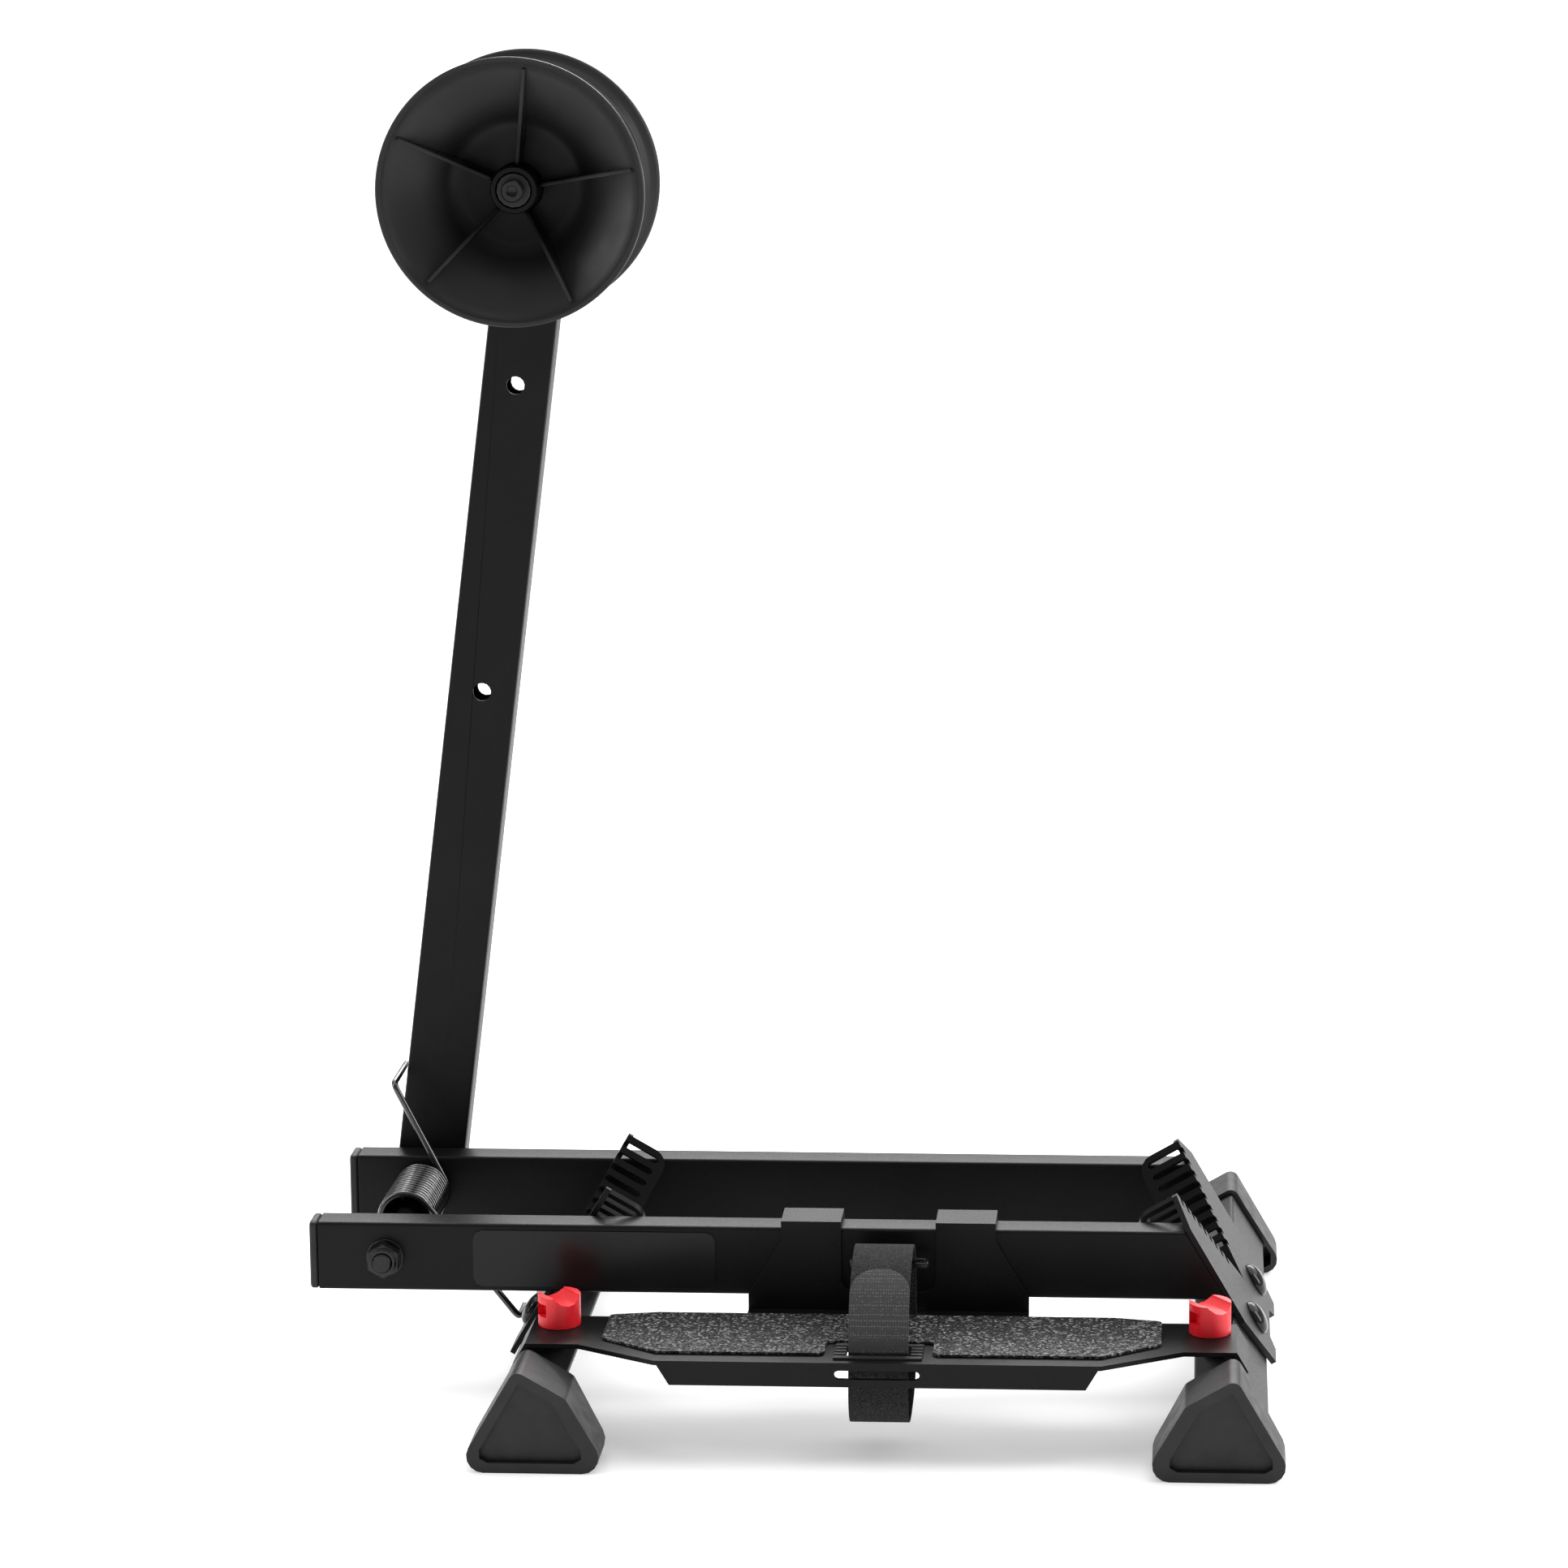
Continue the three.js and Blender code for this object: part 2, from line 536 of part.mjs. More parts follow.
const boltClearance = PIVOT_BOLT / 2 + GAP;
atPivot("pivot_bolt", pivotBolt(), blackSteel);
atPivot("near_washer", ring(WASHER_RADIUS, boltClearance, nearWasher - WASHER, nearWasher), blackSteel);
atPivot("arm_spacer_washer", ring(WASHER_RADIUS, boltClearance, RAIL_OUTER + GAP, ARM_NEAR - GAP), blackSteel);
atPivot("far_washer", ring(WASHER_RADIUS, boltClearance, farWasher, farWasher + WASHER), blackSteel);
atPivot("spring_sleeve", ring(SLEEVE_RADIUS, boltClearance, GAP - RAIL_INNER, RAIL_INNER - GAP), blackSteel);
const pivotNut = place(stand, "pivot_nut", nut(PIVOT_HEAD, PIVOT_BOLT, PIVOT_NUT_HEIGHT), blackSteel);
pivotNut.rotation.z = Math.PI;
pivotNut.position.set(PIVOT_X, nearNut, PIVOT_Z);

// ---- Torsion spring: a close coil, a lower leg that bears on the left cradle and an upper leg hooked on the arm
// How far the upper leg runs before it can turn past the arm's edge.
function hookReach() {
  const [sin, cos] = [Math.sin, Math.cos].map((f) => f(THREE.MathUtils.degToRad(UPPER_ANGLE)));
  const lean = Math.tan(ARM_LEAN);
  const clear = ARM_WIDE / 2 / Math.cos(ARM_LEAN) + WIRE / 2 + HOOK_CLEARANCE;
  return (COIL_RADIUS * (cos - sin * lean) + clear) / (sin + cos * lean);
}

function springPath() {
  const lower = THREE.MathUtils.degToRad(LOWER_ANGLE);
  const upper = THREE.MathUtils.degToRad(UPPER_ANGLE) + 2 * Math.PI * FULL_TURNS;
  const upperLeg = hookReach();
  const length = ((upper - lower) / (2 * Math.PI)) * COIL_PITCH;
  const near = COIL_FAR - length;
  const at = (angle, y, along = 0) =>
    new THREE.Vector3(
      COIL_RADIUS * Math.cos(angle) - along * Math.sin(angle), y,
      COIL_RADIUS * Math.sin(angle) + along * Math.cos(angle),
    );
  const points = [at(lower, near + LEG_BEND + LOWER_FOOT, -LOWER_LEG), at(lower, near + LEG_BEND, -LOWER_LEG)];
  for (let along = LOWER_LEG - LEG_BEND; along > LEG_BEND; along -= 9) points.push(at(lower, near, -along));
  const steps = 12 * FULL_TURNS;
  for (let i = 0; i <= steps; i++) {
    points.push(at(lower + ((upper - lower) * i) / steps, near + (length * i) / steps));
  }
  const upperSteps = Math.round((upperLeg - LEG_BEND) / 9);
  for (let i = 1; i < upperSteps; i++) points.push(at(upper, COIL_FAR, ((upperLeg - LEG_BEND) * i) / upperSteps));
  const over = ARM_FAR + WIRE / 2 + HOOK_CLEARANCE;
  const hook = (y, x = 0) => at(upper, y, upperLeg).add(new THREE.Vector3(x, 0, x * -Math.tan(ARM_LEAN)));
  points.push(hook(COIL_FAR + LEG_BEND), hook((COIL_FAR + over) / 2), hook(over - LEG_BEND));
  points.push(hook(over, LEG_BEND), hook(over, HOOK_TIP));
  return new THREE.CatmullRomCurve3(points, false, "centripetal");
}

function spring() {
  const path = springPath();
  path.arcLengthDivisions = 3000;
  const section = outline(Array.from({ length: WIRE_SIDES }, (_, i) => {
    const angle = (i * 2 * Math.PI) / WIRE_SIDES;
    return [(WIRE / 2) * Math.cos(angle), (WIRE / 2) * Math.sin(angle)];
  }));
  const steps = Math.round(path.getLength() / WIRE_STEP);
  return new THREE.ExtrudeGeometry(section, { steps, extrudePath: path, bevelEnabled: false });
}

atPivot("torsion_spring", spring(), springSteel);

// ---- Arm tube, its caps and its pivot bush
function armTube() {
  const length = ARM_TAIL + AXLE_REACH + ARM_HEAD;
  const upright = (wide, narrow, radius, over) =>
    sheet(roundedRect(wide, narrow, radius), -ARM_TAIL - over, length - ARM_TAIL + over)
      .translate(0, (ARM_NEAR + ARM_FAR) / 2, 0);
  const outer = solid(upright(ARM_WIDE, ARM_NARROW, TUBE_CORNER, 0));
  const wall = 2 * TUBE_WALL;
  const hollow = upright(ARM_WIDE - wall, ARM_NARROW - wall, TUBE_CORNER - TUBE_WALL / 2, OVERCUT);
  const through = (radius, z) => bar(radius, ARM_NEAR - OVERCUT, ARM_FAR + OVERCUT).translate(0, 0, z);
  const holes = [...SPARE_REACHES, AXLE_REACH].map((reach) => through(AXLE_HOLE / 2, reach));
  return carved(outer, hollow, through(BUSH_RADIUS + GAP, 0), ...holes);
}

function armCap(name, z, turn) {
  const cap = place(arm, name, endCap(ARM_WIDE, ARM_NARROW), darkPlastic);
  cap.rotation.set(0, turn, 0);
  cap.position.set(0, (ARM_NEAR + ARM_FAR) / 2, z);
}

place(arm, "arm_tube", armTube(), paint);
armCap("arm_top_cap", AXLE_REACH + ARM_HEAD, Math.PI / 2);
armCap("arm_bottom_cap", -ARM_TAIL, -Math.PI / 2);
place(arm, "arm_bush", ring(BUSH_RADIUS, PIVOT_BOLT / 2 + FIT, ARM_NEAR, ARM_FAR), blackSteel);

// ---- Roller: two dished halves back to back on bushes, with ribs in each open face
const SKIN_TURN = ROLLER_SKIN / 2;

function rollerHalf(side) {
  const profile = [
    [HUB_BORE, GAP / 2], [WAIST_RADIUS, GAP / 2], [ROLLER_RADIUS - 4, ROLLER_HALF - 5],
    [ROLLER_RADIUS, ROLLER_HALF - RIM_LIP], [ROLLER_RADIUS, ROLLER_HALF],
    [ROLLER_RADIUS - ROLLER_SKIN, ROLLER_HALF], [ROLLER_RADIUS - 8, ROLLER_HALF - 5.5],
    [WAIST_RADIUS - SKIN_TURN, ROLLER_SKIN], [HUB_RADIUS, ROLLER_SKIN],
    [HUB_RADIUS, HUB_LENGTH], [HUB_BORE, HUB_LENGTH],
  ];
  const turned = side > 0 ? profile : profile.map(([r, y]) => [r, -y]).reverse();
  const closed = [...turned, turned[0]].map(([r, y]) => new THREE.Vector2(r, y));
  const ribs = Array.from({ length: RIBS }, (_, i) => rollerRib(side, i));
  return joined(new THREE.LatheGeometry(closed, ROLLER_SIDES), ...ribs);
}

function rollerRib(side, i) {
  const edge = [
    [HUB_RADIUS - 1, 1.5], [WAIST_RADIUS - 2, 1.5], [ROLLER_RADIUS - 6, ROLLER_HALF - 6],
    [ROLLER_RADIUS - 6, ROLLER_HALF - 2.5], [HUB_RADIUS - 1, HUB_LENGTH - 3],
  ];
  const shape = outline(edge.map(([r, y]) => [r, side * y]));
  const web = new THREE.ExtrudeGeometry(shape, { depth: RIB, bevelEnabled: false }).translate(0, 0, -RIB / 2);
  return web.rotateY((i * 2 * Math.PI) / RIBS - Math.PI / 2);
}

function atAxle(name, shape, material) {
  return place(arm, name, shape, material).position.set(0, 0, AXLE_REACH);
}

function axleBolt() {
  const head = -HUB_LENGTH - 2 * GAP;
  const end = ARM_FAR + WASHER + LEG_NUT_HEIGHT + 3 * GAP + 1;
  const body = joined(bar(AXLE_HEAD_RADIUS, head - AXLE_HEAD_HEIGHT, head), bar(AXLE / 2, head - 1, end));
  return carved(body, bar(hexRadius(AXLE_SOCKET), head - AXLE_HEAD_HEIGHT - 1, head - AXLE_HEAD_HEIGHT / 2, 6));
}

const axleClearance = AXLE / 2 + GAP;
atAxle("roller_near_half", rollerHalf(-1), rollerPlastic);
atAxle("roller_far_half", rollerHalf(1), rollerPlastic);
atAxle("roller_near_bush", ring(HUB_BORE - GAP, AXLE / 2 + FIT, -HUB_LENGTH, -GAP), darkPlastic);
atAxle("roller_far_bush", ring(HUB_BORE - GAP, AXLE / 2 + FIT, GAP, HUB_LENGTH), darkPlastic);
atAxle("axle_bolt", axleBolt(), blackSteel);
atAxle("axle_spacer", ring(SPACER_RADIUS, axleClearance, HUB_LENGTH + GAP, ARM_NEAR - GAP), blackSteel);
atAxle("axle_washer", ring(WASHER_RADIUS, axleClearance, ARM_FAR + GAP, ARM_FAR + GAP + WASHER), blackSteel);
const axleNut = place(arm, "axle_nut", nut(LEG_NUT, AXLE, LEG_NUT_HEIGHT), blackSteel);
axleNut.position.set(0, ARM_FAR + WASHER + 2 * GAP, AXLE_REACH);

// ---- Step plate: a flat top with end flanges that lap the legs, and a slotted skirt along the front
const stepUnder = STEP_TOP - STEP_PLATE;

function stepOutline(end) {
  const half = [
    [STEP_CHAMFER_IN, -STEP_BACK], [STEP_CHAMFER_IN + 20, -STEP_END_BACK], [end, -STEP_END_BACK],
    [end, -STEP_END_FRONT], [STEP_CHAMFER_OUT, -STEP_END_FRONT], [STEP_CHAMFER_IN, -STEP_FRONT],
  ];
  return outline([...half, ...half.slice().reverse().map(([x, y]) => [-x, y])]);
}

function endFlange(side) {
  const plate = GAP + STEP_PLATE;
  const downTo = (out, height) => (onSlope(out, 0)[1] - height) / Math.cos(LEAN);
  const section = [
    onSlope(GAP, downTo(GAP, stepUnder)), onSlope(GAP, FLANGE_DROP), onSlope(plate, FLANGE_DROP),
    onSlope(plate, downTo(plate, STEP_TOP)), [KNOB_X, STEP_TOP], [KNOB_X, stepUnder],
  ];
  return slab(outline(section.map(([x, z]) => [side * x, z])), -STEP_END_FRONT, -STEP_END_BACK);
}

function skirt() {
  const foot = STEP_CHAMFER_IN - SKIRT_TAPER;
  const edge = [
    [-STEP_CHAMFER_IN, STEP_TOP], [-foot, STEP_TOP - SKIRT_DROP], [foot, STEP_TOP - SKIRT_DROP],
    [STEP_CHAMFER_IN, STEP_TOP],
  ];
  return slab(outline(edge), -STEP_FRONT, STEP_PLATE - STEP_FRONT);
}

function stepPlate() {
  const top = sheet(stepOutline(KNOB_X + STUD), stepUnder, STEP_TOP);
  const body = joined(top, endFlange(1), endFlange(-1), skirt());
  const slotShape = roundedRect(SKIRT_SLOT, SKIRT_SLOT_HEIGHT, SKIRT_SLOT_HEIGHT / 2 - 0.05);
  const slotHeight = STEP_TOP - SKIRT_DROP / 2;
  const slot = slab(slotShape, -STEP_FRONT - 1, 2 * STEP_PLATE - STEP_FRONT).translate(0, 0, slotHeight);
  const halfOpening = STRAP_OPENING / 2;
  const back = STRAP_OPENING_DEPTH - STRAP_OPENING_FRONT;
  const opening = block([-halfOpening, halfOpening], [-STRAP_OPENING_FRONT, back], [stepUnder - 1, STEP_TOP + 1]);
  const studs = [-KNOB_X, KNOB_X].map((x) =>
    uprightBar(STUD / 2 + GAP, STEP_TOP - 2 * STUD, STEP_TOP + 1).translate(x, KNOB_Y, 0));
  return carved(body, slot, opening, ...studs, ...rivetTools(RIVET + GAP));
}

const RIVET_INSET = 21;
const RIVET_SPOTS = [-60, 60].map((x) => [x, -STEP_BACK - RIVET_INSET]);
const bracketTop = stepUnder - GAP;

function rivetTools(radius) {
  return RIVET_SPOTS.map(([x, y]) => uprightBar(radius, stepUnder - 2 * STEP_PLATE, STEP_TOP + 1).translate(x, y, 0));
}

place(stand, "step_plate", stepPlate(), paint);
RIVET_SPOTS.forEach(([x, y], i) => {
  const rivet = place(stand, `bracket_rivet_${i + 1}`, uprightBar(RIVET, bracketTop - STEP_PLATE, STEP_TOP), blackSteel);
  rivet.position.set(x, y, 0);
});

// ---- Hook bracket: two tabs hooked over the near rail, and a foot riveted under the step plate
const bracketBack = -RAIL_OUTER - GAP;
const bracketFront = bracketBack - STEP_PLATE;
const bracketUnder = bracketTop - STEP_PLATE;

function bracketFace() {
  const outer = TAB_SPAN / 2;
  const inner = outer - TAB_WIDTH;
  const half = BRACKET_WIDTH / 2;
  const top = RAIL_TOP + HOOK_RISE + STEP_PLATE;
  const right = [
    [half, bracketUnder], [half, BRACKET_FLARE_END], [outer, BRACKET_SHOULDER], [outer, top], [inner, top],
    [inner, WINDOW_BOTTOM],
  ];
  const points = [...right, ...right.slice().reverse().map(([x, z]) => [-x, z])];
  return roundedPolygon(points, (i) => (i === 5 || i === 6 ? WINDOW_CORNER : 0));
}

function hookTab(side) {
  const outer = (side * TAB_SPAN) / 2;
  const across = [outer - side * TAB_WIDTH, outer];
  const lipFront = GAP - RAIL_INNER;
  const lipBack = lipFront + STEP_PLATE;
  const top = [RAIL_TOP + HOOK_RISE, RAIL_TOP + HOOK_RISE + STEP_PLATE];
  return [
    block(across, [bracketFront, lipBack], top),
    block(across, [lipFront, lipBack], [RAIL_TOP - HOOK_LIP, top[1]]),
  ];
}

function hookBracket() {
  const half = BRACKET_WIDTH / 2;
  const foot = block([-half, half], [bracketBack - BRACKET_FOOT - 5, bracketBack], [bracketUnder, bracketTop]);
  const body = joined(slab(bracketFace(), bracketFront, bracketBack), foot, ...hookTab(1), ...hookTab(-1));
  const slotBack = bracketFront - 1.5;
  const slotHalf = STRAP_WIDTH / 2 + 5;
  const depth = [slotBack - BRACKET_SLOT_DEPTH, slotBack];
  const slot = block([-slotHalf, slotHalf], depth, [bracketUnder - 1, bracketTop + 1]);
  return carved(body, slot, ...rivetTools(RIVET + GAP));
}

place(stand, "hook_bracket", hookBracket(), paint);

// ---- Grip pad, strap grommet and strap
const grommetHalf = STRAP_OPENING / 2 - GAP;
const grommetFront = -STRAP_OPENING_FRONT + GAP;
const grommetBack = STRAP_OPENING_DEPTH - STRAP_OPENING_FRONT - GAP;

function gripPad() {
  const notch = STRAP_OPENING / 2 + 5;
  const front = -STEP_FRONT + 11.5;
  const half = [
    [notch, front + 20], [notch, front], [STEP_CHAMFER_IN, front], [PAD_HALF, front + 21], [PAD_HALF, -STEP_END_BACK - 1],
    [STEP_CHAMFER_IN + 5, -STEP_BACK - 2],
  ];
  const points = [...half, ...half.slice().reverse().map(([x, y]) => [-x, y])];
  return sheet(roundedPolygon(points, () => 3), STEP_TOP + GAP, STEP_TOP + GAP + PAD);
}

function grommet() {
  const body = joined(block([-grommetHalf, grommetHalf], [grommetFront, grommetBack], [stepUnder, STEP_TOP + PAD]));
  const half = STRAP_WIDTH / 2 + 1;
  const slot = block([-half, half], [grommetFront + GROMMET_RIM, grommetBack - GROMMET_RIM], [stepUnder - 1, STEP_TOP + 2 * PAD]);
  const pitch = (grommetBack - grommetFront) / (GROMMET_RIBS + 1);
  const valleys = Array.from({ length: GROMMET_RIBS }, (_, i) => {
    const y = grommetFront + (i + 1) * pitch;
    return block([-STRAP_OPENING, STRAP_OPENING], [y - 0.9, y + 0.9], [STEP_TOP + 0.2, STEP_TOP + 2 * PAD]);
  });
  return carved(body, slot, ...valleys);
}

// The strap's middle line, in front of the step plate's back edge and above the floor: up from the
// grommet, back over the plate and round beneath it.
const STRAP_LINE = [
  [63, 57], [60.5, 70], [50, 86], [32.5, 96.5], [15, 99.5], [2.5, 95], [-5.5, 82], [-8.5, 64],
  [-8.5, 46], [-4, 31], [9, 21.5], [27, 18.5], [45, 19.5], [57.5, 27], [63, 41],
];

function strap() {
  const points = STRAP_LINE.map(([forward, z]) => new THREE.Vector3(-STEP_BACK - forward, z, 0));
  const line = new THREE.CatmullRomCurve3(points, true, "centripetal");
  const count = 30;
  const offset = (distance) => Array.from({ length: count }, (_, i) => {
    const point = line.getPoint(i / count);
    const along = line.getTangent(i / count);
    return [point.x - along.y * distance, point.y + along.x * distance];
  });
  const band = outline(offset(STRAP_THICKNESS / 2));
  band.holes.push(outline(offset(-STRAP_THICKNESS / 2).reverse()));
  const geometry = new THREE.ExtrudeGeometry(band, { depth: STRAP_WIDTH, bevelEnabled: false });
  return geometry.applyMatrix4(uprightInPlate).translate(-STRAP_WIDTH / 2, 0, 0);
}

// The ring that the strap's end doubles back through, round its run behind the step plate.
function strapRing() {
  const half = RING_SPAN / 2;
  const depth = RING_DEPTH / 2;
  const body = block([-half, half], [-depth, depth], [0, RING_BAR]);
  const window = block([RING_BAR - half, half - RING_BAR], [RING_BAR - depth, depth - RING_BAR], [-1, RING_BAR + 1]);
  return carved(solid(body), window);
}

place(stand, "grip_pad", gripPad(), gritPad);
place(stand, "strap_grommet", grommet(), darkPlastic);
place(stand, "strap", strap(), webbing);
place(stand, "strap_ring", strapRing(), blackSteel).position.set(RING_X, RING_BEHIND - STEP_BACK, RING_Z);

// ---- Twist knobs on their studs
function knob() {
  const body = uprightBar(KNOB_RADIUS, 0, KNOB_HEIGHT);
  const bore = uprightBar(STUD / 2 + GAP, -1, KNOB_HEIGHT * 0.62);
  const saddle = bar(KNOB_SADDLE, -2 * KNOB_RADIUS, 2 * KNOB_RADIUS)
    .translate(0, 0, KNOB_HEIGHT + KNOB_SADDLE - KNOB_SADDLE_DEPTH).rotateZ(KNOB_TURN);
  const windowAt = (side) =>
    block([side * KNOB_RADIUS * 0.6, side * 2 * KNOB_RADIUS], [-4.5, 4.5], [KNOB_HEIGHT - 11, KNOB_HEIGHT - 4]).rotateZ(KNOB_TURN);
  return carved(solid(body), bore, saddle, windowAt(-1), windowAt(1));
}

for (const [endName, turn] of Object.entries(ENDS)) {
  const x = Math.cos(turn) * KNOB_X;
  place(stand, `${endName}_knob`, knob(), redPlastic).position.set(x, KNOB_Y, STEP_TOP + GAP);
  const studTop = STEP_TOP + KNOB_HEIGHT * 0.55;
  place(stand, `${endName}_knob_stud`, uprightBar(STUD / 2, STEP_TOP - LEG_WIDE / 2, studTop), blackSteel)
    .position.set(x, KNOB_Y, 0);
}

// ---- Blank badge on the near rail's face
const badge = slab(roundedRect(BADGE_WIDTH, BADGE_HEIGHT, BADGE_CORNER), bracketBack - BADGE, bracketBack);
place(stand, "rail_badge", badge, badgeFilm).position.set(BADGE_LEFT + BADGE_WIDTH / 2, 0, PIVOT_Z);

// The part's origin is on the floor, under the middle of its bounding box.
const box = new THREE.Box3().setFromObject(stand, true);
stand.position.set(-(box.min.x + box.max.x) / 2, -(box.min.y + box.max.y) / 2, -box.min.z);
const part = new THREE.Group().add(stand);

export default part;
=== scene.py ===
"""Bicycle floor stand: the finished look of each piece, laid over the packed frame.

The packed frame gives every solid its size and place. Each operator here makes one piece, or one
group of like pieces, in metres and in the frame's own axes: X runs along the rails, Y from the step
plate's side to the arm's side, and Z up from the floor.
"""

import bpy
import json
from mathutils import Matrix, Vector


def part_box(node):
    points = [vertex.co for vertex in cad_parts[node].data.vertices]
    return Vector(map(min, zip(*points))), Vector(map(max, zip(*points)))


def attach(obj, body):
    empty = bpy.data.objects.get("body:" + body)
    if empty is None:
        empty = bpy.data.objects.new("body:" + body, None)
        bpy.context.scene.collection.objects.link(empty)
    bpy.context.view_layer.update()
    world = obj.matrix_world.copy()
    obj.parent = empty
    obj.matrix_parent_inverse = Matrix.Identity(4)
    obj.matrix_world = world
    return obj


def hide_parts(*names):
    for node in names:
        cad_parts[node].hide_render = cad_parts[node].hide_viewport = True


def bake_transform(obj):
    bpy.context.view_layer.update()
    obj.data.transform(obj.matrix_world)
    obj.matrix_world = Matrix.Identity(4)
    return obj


bl_info = {
    "name": "Bicycle Floor Stand",
    "version": (1, 0, 0),
    "blender": (4, 5, 0),
    "location": "View3D > Sidebar > Floor Stand",
    "description": "Builds a bicycle floor stand with a sprung roller arm and a step plate",
    "category": "Add Mesh",
}

import json
import math

import bmesh
import bpy
from bpy.props import FloatProperty, FloatVectorProperty, IntProperty, PointerProperty
from mathutils import Matrix, Vector

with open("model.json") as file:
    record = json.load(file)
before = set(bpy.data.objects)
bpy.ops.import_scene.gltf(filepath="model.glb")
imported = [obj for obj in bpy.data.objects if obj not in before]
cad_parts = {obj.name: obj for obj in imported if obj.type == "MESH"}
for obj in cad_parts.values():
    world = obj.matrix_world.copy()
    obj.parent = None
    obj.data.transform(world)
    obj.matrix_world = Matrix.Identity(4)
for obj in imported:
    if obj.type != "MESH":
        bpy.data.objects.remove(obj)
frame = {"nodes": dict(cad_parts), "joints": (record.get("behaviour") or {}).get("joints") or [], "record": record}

MM = 0.001
JOINTS = {joint["name"]: joint for joint in frame["joints"]}
PIVOT = Vector(JOINTS["arm_pivot"]["pos_m"])
AXLE = Vector(JOINTS["roller_spin"]["pos_m"])
ARM_LEAN = math.atan2(AXLE.x - PIVOT.x, AXLE.z - PIVOT.z)
BODIES = frame["record"]["behaviour"]["bodies"]
BODY_OF = {node: body for body, nodes in BODIES.items() for node in nodes}
SLOT_OF = {part["node"]: part["material_slot"] for part in frame["record"]["subparts"]}


# ---------------------------------------------------------------- sizes and colours to change


def colour(label, description, default):
    return FloatVectorProperty(
        name=label,
        description=description,
        subtype="COLOR",
        size=3,
        min=0,
        max=1,
        default=default,
    )


def length(label, description, default):
    return FloatProperty(
        name=label, description=description, unit="LENGTH", precision=5, min=0, default=default
    )


class StandColours(bpy.types.PropertyGroup):
    """Colours of the stand's finishes."""

    paint: colour("Powder Coat", "Colour of the painted steel", (0.0042, 0.0042, 0.0046))
    plastic: colour("Black Plastic", "Colour of the feet and caps", (0.0165, 0.0165, 0.017))
    roller: colour("Roller Plastic", "Colour of the roller", (0.022, 0.022, 0.0225))
    steel: colour("Black Hardware", "Colour of bolts, nuts and washers", (0.005, 0.005, 0.0055))
    knob: colour("Knob", "Colour of the twist knobs", (0.78, 0.006, 0.016))
    grip: colour("Grip Sheet", "Colour of the gritty tread", (0.009, 0.009, 0.0095))
    tape: colour("Tape", "Colour of the hook-and-loop strap", (0.045, 0.045, 0.047))
    floor: colour("Floor", "Colour of the studio floor", (0.86, 0.86, 0.86))


class RollerSizes(bpy.types.PropertyGroup):
    """Sizes of the grooved roller."""

    radius: length("Rim Radius", "Outside radius of the two rims", 71.5 * MM)
    half_width: length("Half Width", "From the groove's middle to a rim's face", 37 * MM)
    waist: length("Waist Radius", "Radius at the bottom of the groove", 37 * MM)
    skin: length("Wall", "Thickness of the moulded wall", 3 * MM)
    hub: length("Hub Radius", "Outside radius of the hub", 12.7 * MM)
    hub_length: length("Hub Length", "From the groove's middle to the hub's face", 22 * MM)
    ridge: length("Ridge Height", "Height of the rings on the groove's flanks", 1.0 * MM)
    ridges: IntProperty(name="Ridges", description="Rings on each flank", min=0, max=12, default=5)
    ribs: IntProperty(name="Ribs", description="Ribs in each open face", min=0, max=12, default=5)
    rib_width: length("Rib Width", "Thickness of a rib", 2 * MM)


class SpringSizes(bpy.types.PropertyGroup):
    """Sizes of the torsion spring."""

    wire: length("Wire", "Diameter of the wire", 3.75 * MM)
    coil: length("Coil Radius", "From the axis to the wire's middle", 14.5 * MM)
    pitch: length("Pitch", "Distance between turns", 3.95 * MM)
    turns: IntProperty(name="Turns", description="Turns of the coil", min=2, max=30, default=14)
    lower_leg: length("Lower Leg", "Length of the leg that bears on the cradle", 82.5 * MM)


class StrapSizes(bpy.types.PropertyGroup):
    """Sizes of the hook-and-loop strap."""

    width: length("Width", "Width of the tape", 31.6 * MM)
    thickness: length("Thickness", "Thickness of one layer of tape", 1.5 * MM)
    tab: length("Tab", "From the grommet to the end of the rounded tab", 47 * MM)


# ---------------------------------------------------------------- node trees


class NodeTree:
    """Adds nodes to a tree, and gives their inputs values or links."""

    def __init__(self, tree):
        self.tree = tree

    def node(self, kind, settings=None, **inputs):
        """A new node. An underscore in an input's keyword stands for a space."""
        node = self.tree.nodes.new(kind)
        for name, value in (settings or {}).items():
            setattr(node, name, value)
        for name, value in inputs.items():
            self.feed(node, name.replace("_", " "), value)
        return node

    def feed(self, node, name, value):
        if isinstance(value, bpy.types.NodeSocket):
            self.tree.links.new(value, node.inputs[name])
        else:
            node.inputs[name].default_value = value


# ---------------------------------------------------------------- finishes


